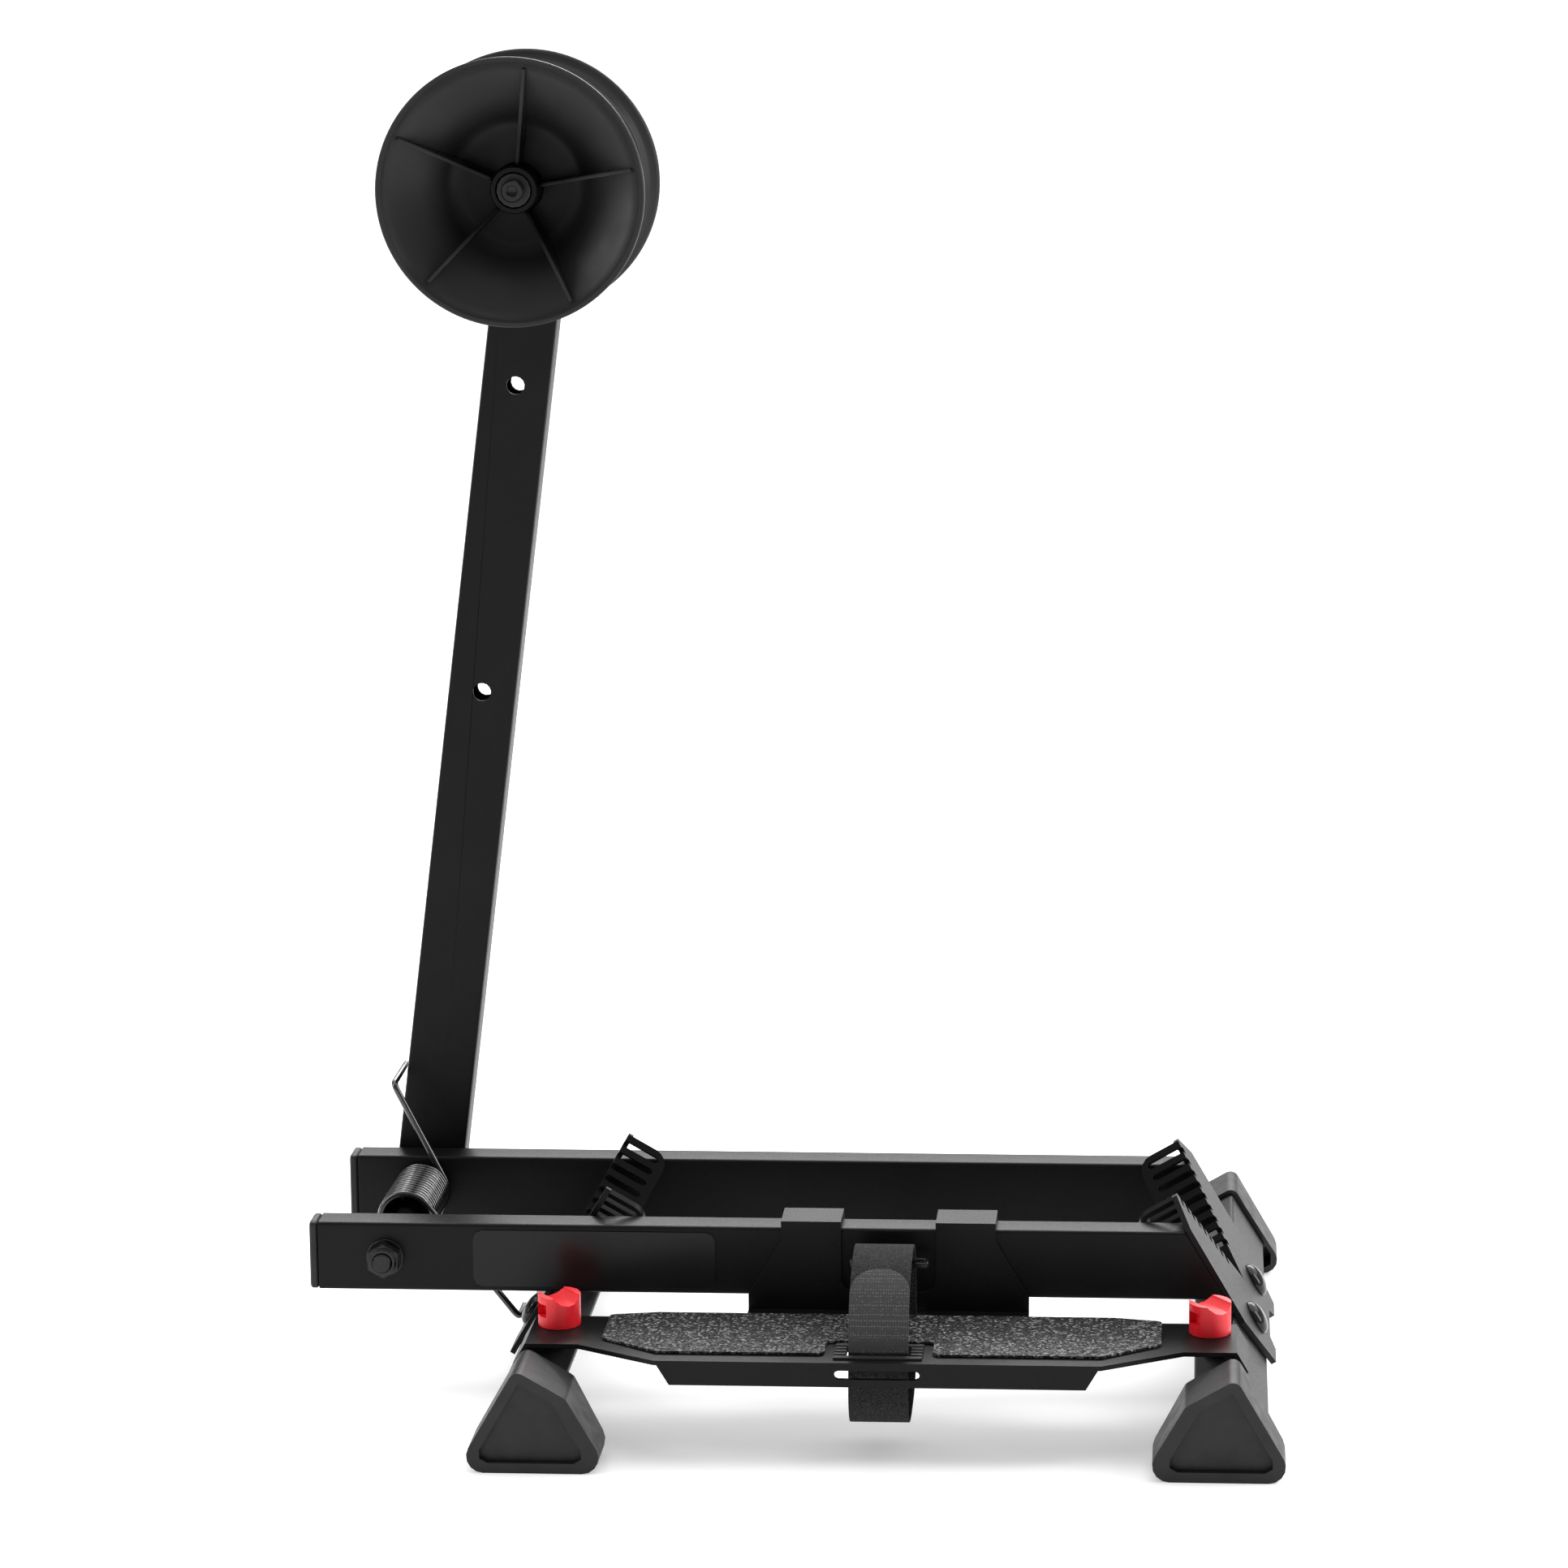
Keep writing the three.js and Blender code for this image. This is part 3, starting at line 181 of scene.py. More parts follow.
class Finish(NodeTree):
    """One procedural material, built up a layer at a time on its Principled shader."""

    def __init__(self, name, base, roughness):
        self.material = bpy.data.materials.new(name)
        self.material.use_nodes = True
        super().__init__(self.material.node_tree)
        self.shader = self.tree.nodes["Principled BSDF"]
        self.base, self.normal = base, None
        self.place = self.node("ShaderNodeTexCoord").outputs["Object"]
        self.set(Base_Color=(*base, 1), Roughness=roughness)

    def set(self, **values):
        for name, value in values.items():
            self.feed(self.shader, name.replace("_", " "), value)
        return self

    def noise(self, scale, detail=2.0, roughness=0.5):
        node = self.node(
            "ShaderNodeTexNoise",
            Scale=scale,
            Detail=detail,
            Roughness=roughness,
            Vector=self.place,
        )
        return node.outputs["Fac"]

    def cells(self, scale, randomness=1.0):
        return self.node(
            "ShaderNodeTexVoronoi", Scale=scale, Randomness=randomness, Vector=self.place
        ).outputs

    def remap(self, source, at_low, at_high, low=0.3, high=0.7):
        """Turns the source's range from low to high into the range between two values."""
        node = self.node(
            "ShaderNodeMapRange",
            From_Min=low,
            From_Max=high,
            To_Min=at_low,
            To_Max=at_high,
            Value=source,
        )
        return node.outputs["Result"]

    def mottle(self, source, at_low, at_high, low=0.3, high=0.7):
        """Varies the colour between two multiples of the base."""
        mix = self.node(
            "ShaderNodeMix",
            {"data_type": "RGBA"},
            A=(*(min(channel * at_low, 1) for channel in self.base), 1),
            B=(*(min(channel * at_high, 1) for channel in self.base), 1),
            Factor=self.remap(source, 0, 1, low, high),
        )
        return self.set(Base_Color=mix.outputs["Result"])

    def roughen(self, source, at_low, at_high):
        """Varies the roughness between two values."""
        return self.set(Roughness=self.remap(source, at_low, at_high))

    def bump(self, source, distance, strength=1.0):
        """Adds a layer of bumps on top of those before it."""
        node = self.node("ShaderNodeBump", Distance=distance, Strength=strength, Height=source)
        if self.normal:
            self.feed(node, "Normal", self.normal)
        self.normal = node.outputs["Normal"]
        return self.set(Normal=self.normal)


def powder_coat(colours):
    finish = Finish("Satin Powder Coat", colours.paint, 0.4).set(Specular_IOR_Level=0.14)
    finish.mottle(finish.noise(26, detail=3), at_low=0.85, at_high=1.25)
    finish.roughen(finish.noise(1500), at_low=0.33, at_high=0.46)
    finish.bump(finish.noise(1900), distance=0.00012, strength=0.5)
    return finish.bump(finish.noise(260), distance=0.0002, strength=0.12)


def moulded_plastic(colours):
    finish = Finish("Moulded Black Plastic", colours.plastic, 0.5).set(Specular_IOR_Level=0.25)
    finish.mottle(finish.noise(40, detail=3), at_low=0.85, at_high=1.2)
    finish.roughen(finish.noise(120, detail=3), at_low=0.4, at_high=0.52)
    return finish.bump(finish.noise(2400, detail=3), distance=0.00012, strength=0.3)


def roller_plastic(colours):
    """Satin plastic with painted shade: its colour darkens in the deep well round the hub."""
    finish = Finish("Smooth Roller Plastic", colours.roller, 0.34).set(Specular_IOR_Level=0.14)
    from_axle = finish.node(
        "ShaderNodeMapping", Location=-AXLE, Scale=(1, 0, 1), Vector=finish.place
    )
    reach = finish.node(
        "ShaderNodeVectorMath", {"operation": "LENGTH"}, Vector=from_axle.outputs["Vector"]
    )
    # Painted shade: the colour falls to a few hundredths of the base within about 28 to 50 mm of the axle,
    # standing in for the dark well round the hub.
    finish.mottle(reach.outputs["Value"], at_low=0.03, at_high=1.1, low=0.028, high=0.05)
    finish.roughen(finish.noise(60, detail=3), at_low=0.28, at_high=0.4)
    return finish.bump(finish.noise(900), distance=0.0001, strength=0.2)


def black_oxide(colours):
    finish = Finish("Black Oxide Steel", colours.steel, 0.16).set(Specular_IOR_Level=0.28)
    finish.mottle(finish.noise(300, detail=4), at_low=0.6, at_high=1.7)
    finish.roughen(finish.noise(500, detail=3), at_low=0.12, at_high=0.22)
    return finish.bump(finish.noise(420), distance=0.00008, strength=0.15)


def spring_wire(colours):
    finish = Finish("Coated Spring Wire", colours.paint, 0.2)
    finish.set(Coat_Weight=0.8, Coat_Roughness=0.1)
    finish.mottle(finish.noise(180, detail=3), at_low=0.7, at_high=1.4)
    return finish.bump(finish.noise(700), distance=0.0001, strength=0.15)


def red_plastic(colours):
    finish = Finish("Moulded Red Plastic", colours.knob, 0.42)
    finish.mottle(finish.noise(90, detail=3), at_low=0.88, at_high=1.06)
    finish.roughen(finish.noise(300), at_low=0.36, at_high=0.5)
    return finish.bump(finish.noise(1800), distance=0.0001, strength=0.3)


def grit(colours):
    """Coarse mineral grains in a dark binder: most are dull, and a few are painted bright, as painted glints where
    they would catch the light.
    """
    finish = Finish("Gritty Tread", colours.grip, 0.7)
    grains = finish.cells(760)
    split = finish.node("ShaderNodeSeparateColor", Color=grains["Color"])
    # Painted highlight: the few grains with a high cell value get up to 26 times the base colour, as painted
    # glints.
    finish.mottle(split.outputs["Red"], at_low=0.3, at_high=26, low=0.7, high=1.0)
    finish.roughen(split.outputs["Green"], at_low=0.35, at_high=0.85)
    finish.bump(grains["Distance"], distance=0.0006)
    return finish.bump(finish.noise(500, detail=3), distance=0.0006, strength=0.6)


def loop_tape(colours):
    finish = Finish("Fuzzy Loop Tape", colours.tape, 0.92)
    finish.set(Specular_IOR_Level=0.2, Sheen_Weight=0.04)
    fuzz = finish.noise(1300, detail=4, roughness=0.75)
    finish.mottle(fuzz, at_low=0.08, at_high=1.6, low=0.42, high=0.7)
    return finish.bump(fuzz, distance=0.0012)


def hook_tape(colours):
    """Rows of tiny hooks on a woven backing."""
    finish = Finish("Hook Tape", colours.tape, 0.7)
    finish.set(Specular_IOR_Level=0.3, Sheen_Weight=0.03)
    hooks = finish.cells(720, randomness=0.3)
    finish.mottle(hooks["Distance"], at_low=3.0, at_high=0.8, low=0.1, high=0.36)
    return finish.bump(finish.noise(1500, detail=3), distance=0.0003, strength=0.6)


def badge_film(colours):
    """A film a little paler and glossier than the paint under it."""
    paler = 1.6
    finish = Finish("Blank Badge Film", [channel * paler for channel in colours.paint], 0.24)
    return finish.set(Specular_IOR_Level=0.2).mottle(finish.noise(14), at_low=0.9, at_high=1.15)


def studio_floor(colours):
    finish = Finish("Pale Studio Floor", colours.floor, 0.9)
    finish.set(Emission_Color=(1, 1, 1, 1), Emission_Strength=0.34)
    return finish.mottle(finish.noise(3), at_low=0.985, at_high=1.0)


FINISHES = {
    "black_paint": powder_coat,
    "black_plastic": moulded_plastic,
    "roller_plastic": roller_plastic,
    "black_hardware": black_oxide,
    "spring_steel": spring_wire,
    "red_plastic": red_plastic,
    "grip": grit,
    "webbing": loop_tape,
    "hook_tape": hook_tape,
    "badge_film": badge_film,
    "floor": studio_floor,
}
_finished = {}


def finish_of(slot):
    """The slot's material, made the first time that it is asked for."""
    if slot not in _finished:
        _finished[slot] = FINISHES[slot](bpy.context.scene.stand_colours).material
    return _finished[slot]


# ---------------------------------------------------------------- making and finishing meshes


def add_piece(name, mesh, body, slot, finish=None, replaces=()):
    """Links a mesh as a piece that rides on a body and stands for some CAD nodes."""
    piece = bpy.data.objects.new(name, mesh)
    bpy.context.scene.collection.objects.link(piece)
    mesh.materials.clear()
    mesh.materials.append(finish_of(finish or slot))
    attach(piece, body)
    if replaces:
        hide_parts(*replaces)
    return piece


def stand_for(node, mesh, finish=None, name=None):
    """A piece that takes one CAD node's place, body and material slot."""
    return add_piece(name or f"{node}_finished", mesh, BODY_OF[node], SLOT_OF[node], finish, [node])


def smooth_by_angle(mesh, degrees):
    """Shades the mesh smooth, and leaves creases sharper than the angle."""
    bm = bmesh.new()
    bm.from_mesh(mesh)
    for face in bm.faces:
        face.smooth = True
    for edge in bm.edges:
        edge.smooth = len(edge.link_faces) == 2 and edge.calc_face_angle(0) < math.radians(degrees)
    bm.to_mesh(mesh)
    bm.free()
    return mesh


def soften(piece, width, segments=3, degrees=30):
    """Rounds the piece's creases."""
    bevel = piece.modifiers.new("Rounded Edges", "BEVEL")
    bevel.width, bevel.segments = width, segments
    bevel.limit_method, bevel.angle_limit = "ANGLE", math.radians(degrees)
    weighted = piece.modifiers.new("Flat Faces", "WEIGHTED_NORMAL")
    weighted.weight, weighted.keep_sharp = 100, True
    return piece


def clean_copy(node):
    """A copy of a CAD node's mesh with its loose triangles joined."""
    mesh = frame["nodes"][node].data.copy()
    bm = bmesh.new()
    bm.from_mesh(mesh)
    bmesh.ops.remove_doubles(bm, verts=bm.verts, dist=2e-6)
    bm.to_mesh(mesh)
    bm.free()
    return mesh


def dress(node, edge, segments=3, degrees=32, finish=None):
    """Replaces a CAD node with its own shape, its edges rounded."""
    mesh = smooth_by_angle(clean_copy(node), degrees)
    return soften(stand_for(node, mesh, finish), edge, segments, degrees)


def turned(profile, segments=64, closed=False):
    """A mesh turned about the Z axis from points of (radius, height)."""
    bm = bmesh.new()
    rings = []
    for radius, height in profile:
        if radius == 0:
            rings.append([bm.verts.new((0, 0, height))])
            continue
        angles = (2 * math.pi * k / segments for k in range(segments))
        spots = [(radius * math.cos(a), radius * math.sin(a), height) for a in angles]
        rings.append([bm.verts.new(spot) for spot in spots])
    pairs = list(zip(rings, rings[1:])) + ([(rings[-1], rings[0])] if closed else [])
    for lower, upper in pairs:
        for k in range(segments):
            corners = [lower[j % len(lower)] for j in (k, k + 1)]
            corners += [upper[j % len(upper)] for j in (k + 1, k)]
            unique = list(dict.fromkeys(corners))
            if len(unique) > 2:
                bm.faces.new(unique)
    bmesh.ops.recalc_face_normals(bm, faces=bm.faces)
    mesh = bpy.data.meshes.new("turned")
    bm.to_mesh(mesh)
    bm.free()
    return mesh


def turned_about(axis, centre, profile, segments=56, closed=False):
    """A turned shape that stands on an axis, with its profile's heights counted from a centre."""
    turn = Vector((0, 0, 1)).rotation_difference(axis).to_matrix().to_4x4()
    return placed(turned(profile, segments, closed), Matrix.Translation(centre) @ turn)


def merged(*meshes):
    """One mesh that holds all of the others."""
    bm = bmesh.new()
    for mesh in meshes:
        bm.from_mesh(mesh)
    result = bpy.data.meshes.new("merged")
    bm.to_mesh(result)
    bm.free()
    return result


def placed(mesh, matrix):
    """The mesh itself, moved by the matrix."""
    mesh.transform(matrix)
    return mesh


# ---------------------------------------------------------------- trees that grow repeated shapes


class Grower(NodeTree):
    """A Geometry Nodes tree with named sizes, run once and turned into a plain mesh."""

    def __init__(self, name, sizes):
        super().__init__(bpy.data.node_groups.new(name, "GeometryNodeTree"))
        self.sizes = sizes
        face = self.tree.interface
        face.new_socket("Geometry", in_out="INPUT", socket_type="NodeSocketGeometry")
        for label, value in sizes.items():
            kind = "NodeSocketInt" if isinstance(value, int) else "NodeSocketFloat"
            face.new_socket(label, in_out="INPUT", socket_type=kind)
        face.new_socket("Geometry", in_out="OUTPUT", socket_type="NodeSocketGeometry")
        self.given = self.node("NodeGroupInput")
        self.result = self.node("NodeGroupOutput")

    def size(self, label):
        return self.given.outputs[label]

    def calculate(self, operation, first, second):
        node = self.node("ShaderNodeMath", {"operation": operation})
        self.feed(node, 0, first)
        self.feed(node, 1, second)
        return node.outputs[0]

    def close(self, geometry, slot):
        """Makes the shapes real, smooth and finished, and gives them out as the tree's result."""
        real = self.node("GeometryNodeRealizeInstances", Geometry=geometry)
        smooth = self.node("GeometryNodeSetShadeSmooth", Geometry=real.outputs[0])
        finished = self.node(
            "GeometryNodeSetMaterial", Geometry=smooth.outputs[0], Material=finish_of(slot)
        )
        self.feed(self.result, 0, finished.outputs[0])

    def grow(self, seed):
        """Runs the tree on a seed mesh, and returns the result as a mesh of its own."""
        bed = bpy.data.objects.new("growing", seed)
        bpy.context.scene.collection.objects.link(bed)
        modifier = bed.modifiers.new("Grow", "NODES")
        modifier.node_group = self.tree
        for item in self.tree.interface.items_tree:
            if item.in_out == "INPUT" and item.name in self.sizes:
                modifier[item.identifier] = self.sizes[item.name]
        grown = bed.evaluated_get(bpy.context.evaluated_depsgraph_get())
        mesh = bpy.data.meshes.new_from_object(grown)
        bpy.data.objects.remove(bed)
        return mesh


def polyline(points):
    """A mesh of edges from each point to the next."""
    mesh = bpy.data.meshes.new("path")
    edges = [(k, k + 1) for k in range(len(points) - 1)]
    mesh.from_pydata([tuple(point) for point in points], edges, [])
    return mesh


def wire_along(points, diameter, slot, name):
    """A round wire swept along a path."""
    grower = Grower(name, {"Wire Radius": diameter / 2, "Facets": 12})
    path = grower.node("GeometryNodeMeshToCurve", Mesh=grower.size("Geometry"))
    ring = grower.node(
        "GeometryNodeCurvePrimitiveCircle",
        Resolution=grower.size("Facets"),
        Radius=grower.size("Wire Radius"),
    )
    swept = grower.node(
        "GeometryNodeCurveToMesh",
        Curve=path.outputs[0],
        Profile_Curve=ring.outputs["Curve"],
        Fill_Caps=True,
    )
    grower.close(swept.outputs[0], slot)
    return grower.grow(polyline(points))


def round_about_y(seed, count, slot, name):
    """Copies of a shape at even turns about the Y axis."""
    grower = Grower(name, {"Count": count})
    points = grower.node("GeometryNodePoints", Count=grower.size("Count"))
    index = grower.node("GeometryNodeInputIndex").outputs[0]
    step = grower.calculate("DIVIDE", 2 * math.pi, grower.size("Count"))
    turn = grower.node("ShaderNodeCombineXYZ", Y=grower.calculate("MULTIPLY", index, step))
    rotation = grower.node("FunctionNodeEulerToRotation", Euler=turn.outputs[0])
    copies = grower.node(
        "GeometryNodeInstanceOnPoints",
        Points=points.outputs[0],
        Instance=grower.size("Geometry"),
        Rotation=rotation.outputs[0],
    )
    grower.close(copies.outputs[0], slot)
    return grower.grow(seed)


# ---------------------------------------------------------------- the pieces


class STAND_OT_painted_steel(bpy.types.Operator):
    """Rails, cradles, legs, step plate, hook bracket and arm, with a powder coat"""

    bl_idname = "stand.painted_steel"
    bl_label = "Painted Steel"

    # Widths of the rounded edges in mm.
    EDGES = {
        "near_rail": 0.6,
        "far_rail": 0.6,
        "left_leg": 0.6,
        "right_leg": 0.6,
        "arm_tube": 0.6,
        "left_cradle": 0.35,
        "right_cradle": 0.35,
        "step_plate": 0.6,
        "hook_bracket": 0.6,
    }

    def execute(self, context):
        for node, edge in self.EDGES.items():
            dress(node, edge * MM)
        return {"FINISHED"}


class STAND_OT_feet_and_caps(bpy.types.Operator):
    """Moulded feet, tube caps and the strap's grommet"""

    bl_idname = "stand.feet_and_caps"
    bl_label = "Feet and Caps"

    # Widths of the rounded edges in mm, by the end of the node's name.
    EDGES = {"foot": 1.1, "cap": 0.5, "strap_grommet": 0.4}

    def execute(self, context):
        for node in frame["nodes"]:
            for ending, edge in self.EDGES.items():
                if node.endswith(ending):
                    dress(node, edge * MM)
        return {"FINISHED"}


class STAND_OT_hardware(bpy.types.Operator):
    """Carriage bolts, nuts, washers, bushes and studs in black steel"""

    bl_idname = "stand.hardware"
    bl_label = "Hardware"

    PLATE_LEAN = math.radians(30)
    DOME_RADIUS, DOME_HEIGHT = 9.75 * MM, 4.8 * MM
    DOME_DEGREES = range(88, -1, -11)
    DOME_SEAT = 0.3 * MM
    SHANK = 4 * MM
    # Radii of the bores in mm.
    BORES = {
        "near_washer": 5.3,
        "arm_spacer_washer": 5.3,
        "far_washer": 5.3,
        "spring_sleeve": 5.3,
        "axle_washer": 4.3,
        "axle_spacer": 4.3,
    }
    HEAD_RADIUS, HEAD_HEIGHT, HEAD_EDGE = 6 * MM, 6 * MM, 0.7 * MM
    SOCKET_RADIUS, SOCKET_EDGE = 2.7 * MM, 0.4 * MM
    SOCKET_DEPTH, SOCKET_POINT = 3 * MM, 3.6 * MM

    def domed_bolt(self, node):
        """A carriage bolt's low dome, which stands square to the leaning plate, and its shank."""
        out = -1 if node.startswith("left") else 1
        axis = Vector((out * math.cos(self.PLATE_LEAN), 0, math.sin(self.PLATE_LEAN)))
        spots = [vert.co for vert in frame["nodes"][node].data.vertices]
        tip = max(spots, key=axis.dot).copy()
        length = axis.dot(tip) - min(axis.dot(spot) for spot in spots)
        radius, height = self.DOME_RADIUS, self.DOME_HEIGHT
        arc = [math.radians(degrees) for degrees in self.DOME_DEGREES]
        under = [
            (0, -length),
            (self.SHANK, -length),
            (self.SHANK, -height),
            (radius - self.DOME_SEAT, -height),
        ]
        dome = [(radius * math.sin(a), height * (math.cos(a) - 1)) for a in arc]
        return turned_about(axis, tip, under + dome)

    def plain_ring(self, node, bore):
        low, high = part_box(node)
        radius, half = (high.x - low.x) / 2, (high.y - low.y) / 2
        profile = [(bore, -half), (radius, -half), (radius, half), (bore, half)]
        return turned_about(Vector((0, 1, 0)), (low + high) / 2, profile, closed=True)

    def socket_head(self):
        """The axle bolt, with a round head and a deep key socket on the near side."""
        low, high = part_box("axle_bolt")
        length = high.y - low.y
        head, socket = self.HEAD_RADIUS, self.SOCKET_RADIUS
        profile = [
            (0, 0),
            (self.SHANK, 0),
            (self.SHANK, length - self.HEAD_HEIGHT),
            (head, length - self.HEAD_HEIGHT),
            (head, length - self.HEAD_EDGE),
            (head - self.HEAD_EDGE, length),
            (socket + self.SOCKET_EDGE, length),
            (socket, length - self.SOCKET_EDGE),
            (socket, length - self.SOCKET_DEPTH),
            (0, length - self.SOCKET_POINT),
        ]
        return turned_about(Vector((0, -1, 0)), Vector((AXLE.x, high.y, AXLE.z)), profile)

    def execute(self, context):
        for node, slot in SLOT_OF.items():
            if node.endswith("_leg_bolt"):
                stand_for(node, smooth_by_angle(self.domed_bolt(node), degrees=50))
            elif node in self.BORES:
                ring = smooth_by_angle(self.plain_ring(node, self.BORES[node] * MM), degrees=40)
                soften(stand_for(node, ring), 0.3 * MM, segments=2)
            elif node == "axle_bolt":
                stand_for(node, smooth_by_angle(self.socket_head(), degrees=35))
            elif slot == "black_hardware" or node.endswith("_bush"):
                dress(node, 0.5 * MM, segments=2)
        return {"FINISHED"}


class STAND_OT_torsion_spring(bpy.types.Operator):
    """Close-wound spring, with one leg on the left cradle and one hooked round the arm"""

    bl_idname = "stand.torsion_spring"
    bl_label = "Torsion Spring"

    COIL_FAR = 50.6 * MM
    LOWER, UPPER = math.radians(38), math.radians(26.5)
    BEND = 5 * MM
    LOWER_FOOT = 16 * MM
    HOOK_TIP = 9 * MM
    CLEAR = 1.6 * MM
    POINTS_PER_TURN = 40

    def upper_leg(self, sizes):
        """The leg's length from the coil to a line that runs just clear of the leaning arm."""
        low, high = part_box("arm_top_cap")
        half_arm = high.y - low.y  # the arm's narrow side is half its broad one
        edge = half_arm / math.cos(ARM_LEAN) + sizes.wire / 2 + self.CLEAR
        sin, cos, lean = math.sin(self.UPPER), math.cos(self.UPPER), math.tan(ARM_LEAN)
        return (sizes.coil * (cos - sin * lean) + edge) / (sin + cos * lean)

    def path(self, sizes):
        """The wire's middle line, and how far to the near side its coil reaches."""
        sweep = 2 * math.pi * sizes.turns + self.UPPER - self.LOWER
        reach = sweep / (2 * math.pi) * sizes.pitch
        near = self.COIL_FAR - reach
        lift = self.upper_leg(sizes)
        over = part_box("arm_tube")[1].y + sizes.wire / 2 + self.CLEAR

        def at(angle, y, along=0.0):
            x = sizes.coil * math.cos(angle) - along * math.sin(angle)
            return Vector((x, y, sizes.coil * math.sin(angle) + along * math.cos(angle)))

        lower = rounded_path(
            [
                at(self.LOWER, near + self.BEND + self.LOWER_FOOT, -sizes.lower_leg),
                at(self.LOWER, near, -sizes.lower_leg),
                at(self.LOWER, near),
            ],
            self.BEND,
        )
        steps = self.POINTS_PER_TURN * sizes.turns
        shares = [k / steps for k in range(steps + 1)]
        coil = [at(self.LOWER + sweep * share, near + reach * share) for share in shares]
        hook = Vector((self.HOOK_TIP, 0, -self.HOOK_TIP * math.tan(ARM_LEAN)))
        upper = rounded_path(
            [
                at(self.UPPER, self.COIL_FAR),
                at(self.UPPER, self.COIL_FAR, lift),
                at(self.UPPER, over, lift),
                at(self.UPPER, over, lift) + hook,
            ],
            self.BEND,
        )
        return [point + PIVOT for point in lower[:-1] + coil + upper[1:]], near

    def execute(self, context):
        sizes = context.scene.stand_spring
        points, near = self.path(sizes)
        mesh = wire_along(points, sizes.wire, "spring_steel", "Spring Wire")
        piece = bpy.data.objects.new("torsion_spring_wire", mesh)
        context.scene.collection.objects.link(piece)
        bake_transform(piece)
        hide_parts("torsion_spring")
        return {"FINISHED"}


def rounded_path(corners, radius, steps=8):
    """A path through the corners, with each inner corner rounded."""
    path = [corners[0]]
    for before, corner, after in zip(corners, corners[1:], corners[2:]):
        start = corner + (before - corner).normalized() * radius
        end = corner + (after - corner).normalized() * radius
        for k in range(steps + 1):
            t = k / steps
            path.append(start * (1 - t) ** 2 + corner * 2 * t * (1 - t) + end * t**2)
    return path + [corners[-1]]


class STAND_OT_roller(bpy.types.Operator):
    """Two dished halves with rings on the groove's flanks and ribs in the open faces"""

    bl_idname = "stand.roller"
    bl_label = "Grooved Roller"

    BORE = 9.5 * MM
    HALF_GAP = 0.15 * MM
    FLANK_STEPS = 8
    RING_LEAN = 0.7
    RIB_ROOT = 1 * MM
    # Points of the section in mm, as (outwards, along the axis) from the corner that they round.
    LIP = ((-2, -4.4), (-0.5, -3.6), (0, -2.6), (0, -0.7), (-0.7, 0), (-2.2, 0))
    LIP_INSIDE = ((0, -0.8), (-1, -3))
    WALL_TOP = ((-8, -5.5),)
    WELL = ((2, 4.2), (-2, 0.8), (-6, 0))
    HUB_FOOT = ((1, 0), (0, 1))
    HUB_EDGE = ((0, -0.6), (-0.6, 0))
    BORE_EDGE = ((0.4, 0), (0, -0.4))

    def flank(self, sizes):
        """The groove's slope, from its middle out to the rim, with rings that rise square to it."""
        start, end = sizes.waist, sizes.radius - 4.5 * MM
        low, high = 1.2 * MM, sizes.half_width - 6 * MM
        steps = self.FLANK_STEPS * sizes.ridges + 4
        points = []
        for k in range(steps + 1):
            t = k / steps
            crest = max(0, math.sin(math.pi * (2 * t * sizes.ridges))) ** 4 * sizes.ridge
            rise = crest * self.RING_LEAN
            points.append((start + (end - start) * t + rise, low + (high - low) * t - rise))
        return points

    def profile(self, sizes):
        """The half's section, from the groove's middle out to the rim and back in to the hub."""

        def near(radius, height, offsets):
            return [(radius + out * MM, height + along * MM) for out, along in offsets]

        rim, face, skin, hub = sizes.radius, sizes.half_width, sizes.skin, sizes.hub
        return [
            (self.BORE, self.HALF_GAP),
            (sizes.waist - 2 * MM, self.HALF_GAP),
            *self.flank(sizes),
            *near(rim, face, self.LIP),
            *near(rim - skin, face, self.LIP_INSIDE),
            *near(rim, face, self.WALL_TOP),
            *near(sizes.waist, skin, self.WELL),
            *near(hub, skin, self.HUB_FOOT),
            *near(hub, sizes.hub_length, self.HUB_EDGE),
            *near(self.BORE, sizes.hub_length, self.BORE_EDGE),
        ]

    def rib(self, sizes, side):
        """One web between the hub and the wall, sunk a little into both."""
        root, tip = sizes.hub - self.RIB_ROOT, sizes.radius - 6 * MM
        edge = [
            (root, sizes.skin / 2),
            (sizes.waist - 2 * MM, sizes.skin / 2),
            (tip, sizes.half_width - 6 * MM),
            (tip, sizes.half_width - 2.5 * MM),
            (root, sizes.hub_length - 3 * MM),
        ]
        bm = bmesh.new()
        half = sizes.rib_width / 2
        faces = [[bm.verts.new((x, side * y, z)) for x, y in edge] for z in (-half, half)]
        for verts in faces:
            bm.faces.new(verts)
        for k in range(len(edge)):
            bm.faces.new([faces[0][k], faces[0][k - 1], faces[1][k - 1], faces[1][k]])
        bmesh.ops.recalc_face_normals(bm, faces=bm.faces)
        bmesh.ops.bevel(
            bm, geom=list(bm.edges), offset=0.4 * MM, segments=2, affect="EDGES", profile=0.5
        )
        bmesh.ops.rotate(bm, verts=bm.verts, matrix=Matrix.Rotation(-math.pi / 2, 3, "Y"))
        mesh = bpy.data.meshes.new("rib")
        bm.to_mesh(mesh)
        bm.free()
        return mesh

    def execute(self, context):
        sizes = context.scene.stand_roller
        to_axle = Matrix.Translation(AXLE) @ Matrix.Rotation(ARM_LEAN, 4, "Y")
        for node, side in (("roller_near_half", -1), ("roller_far_half", 1)):
            shell = turned(self.profile(sizes), segments=128, closed=True)
            placed(shell, Matrix.Rotation(-side * math.pi / 2, 4, "X"))
            ribs = round_about_y(self.rib(sizes, side), sizes.ribs, "roller_plastic", "Roller Ribs")
            whole = placed(merged(shell, ribs), to_axle)
            stand_for(node, smooth_by_angle(whole, 38))
        return {"FINISHED"}


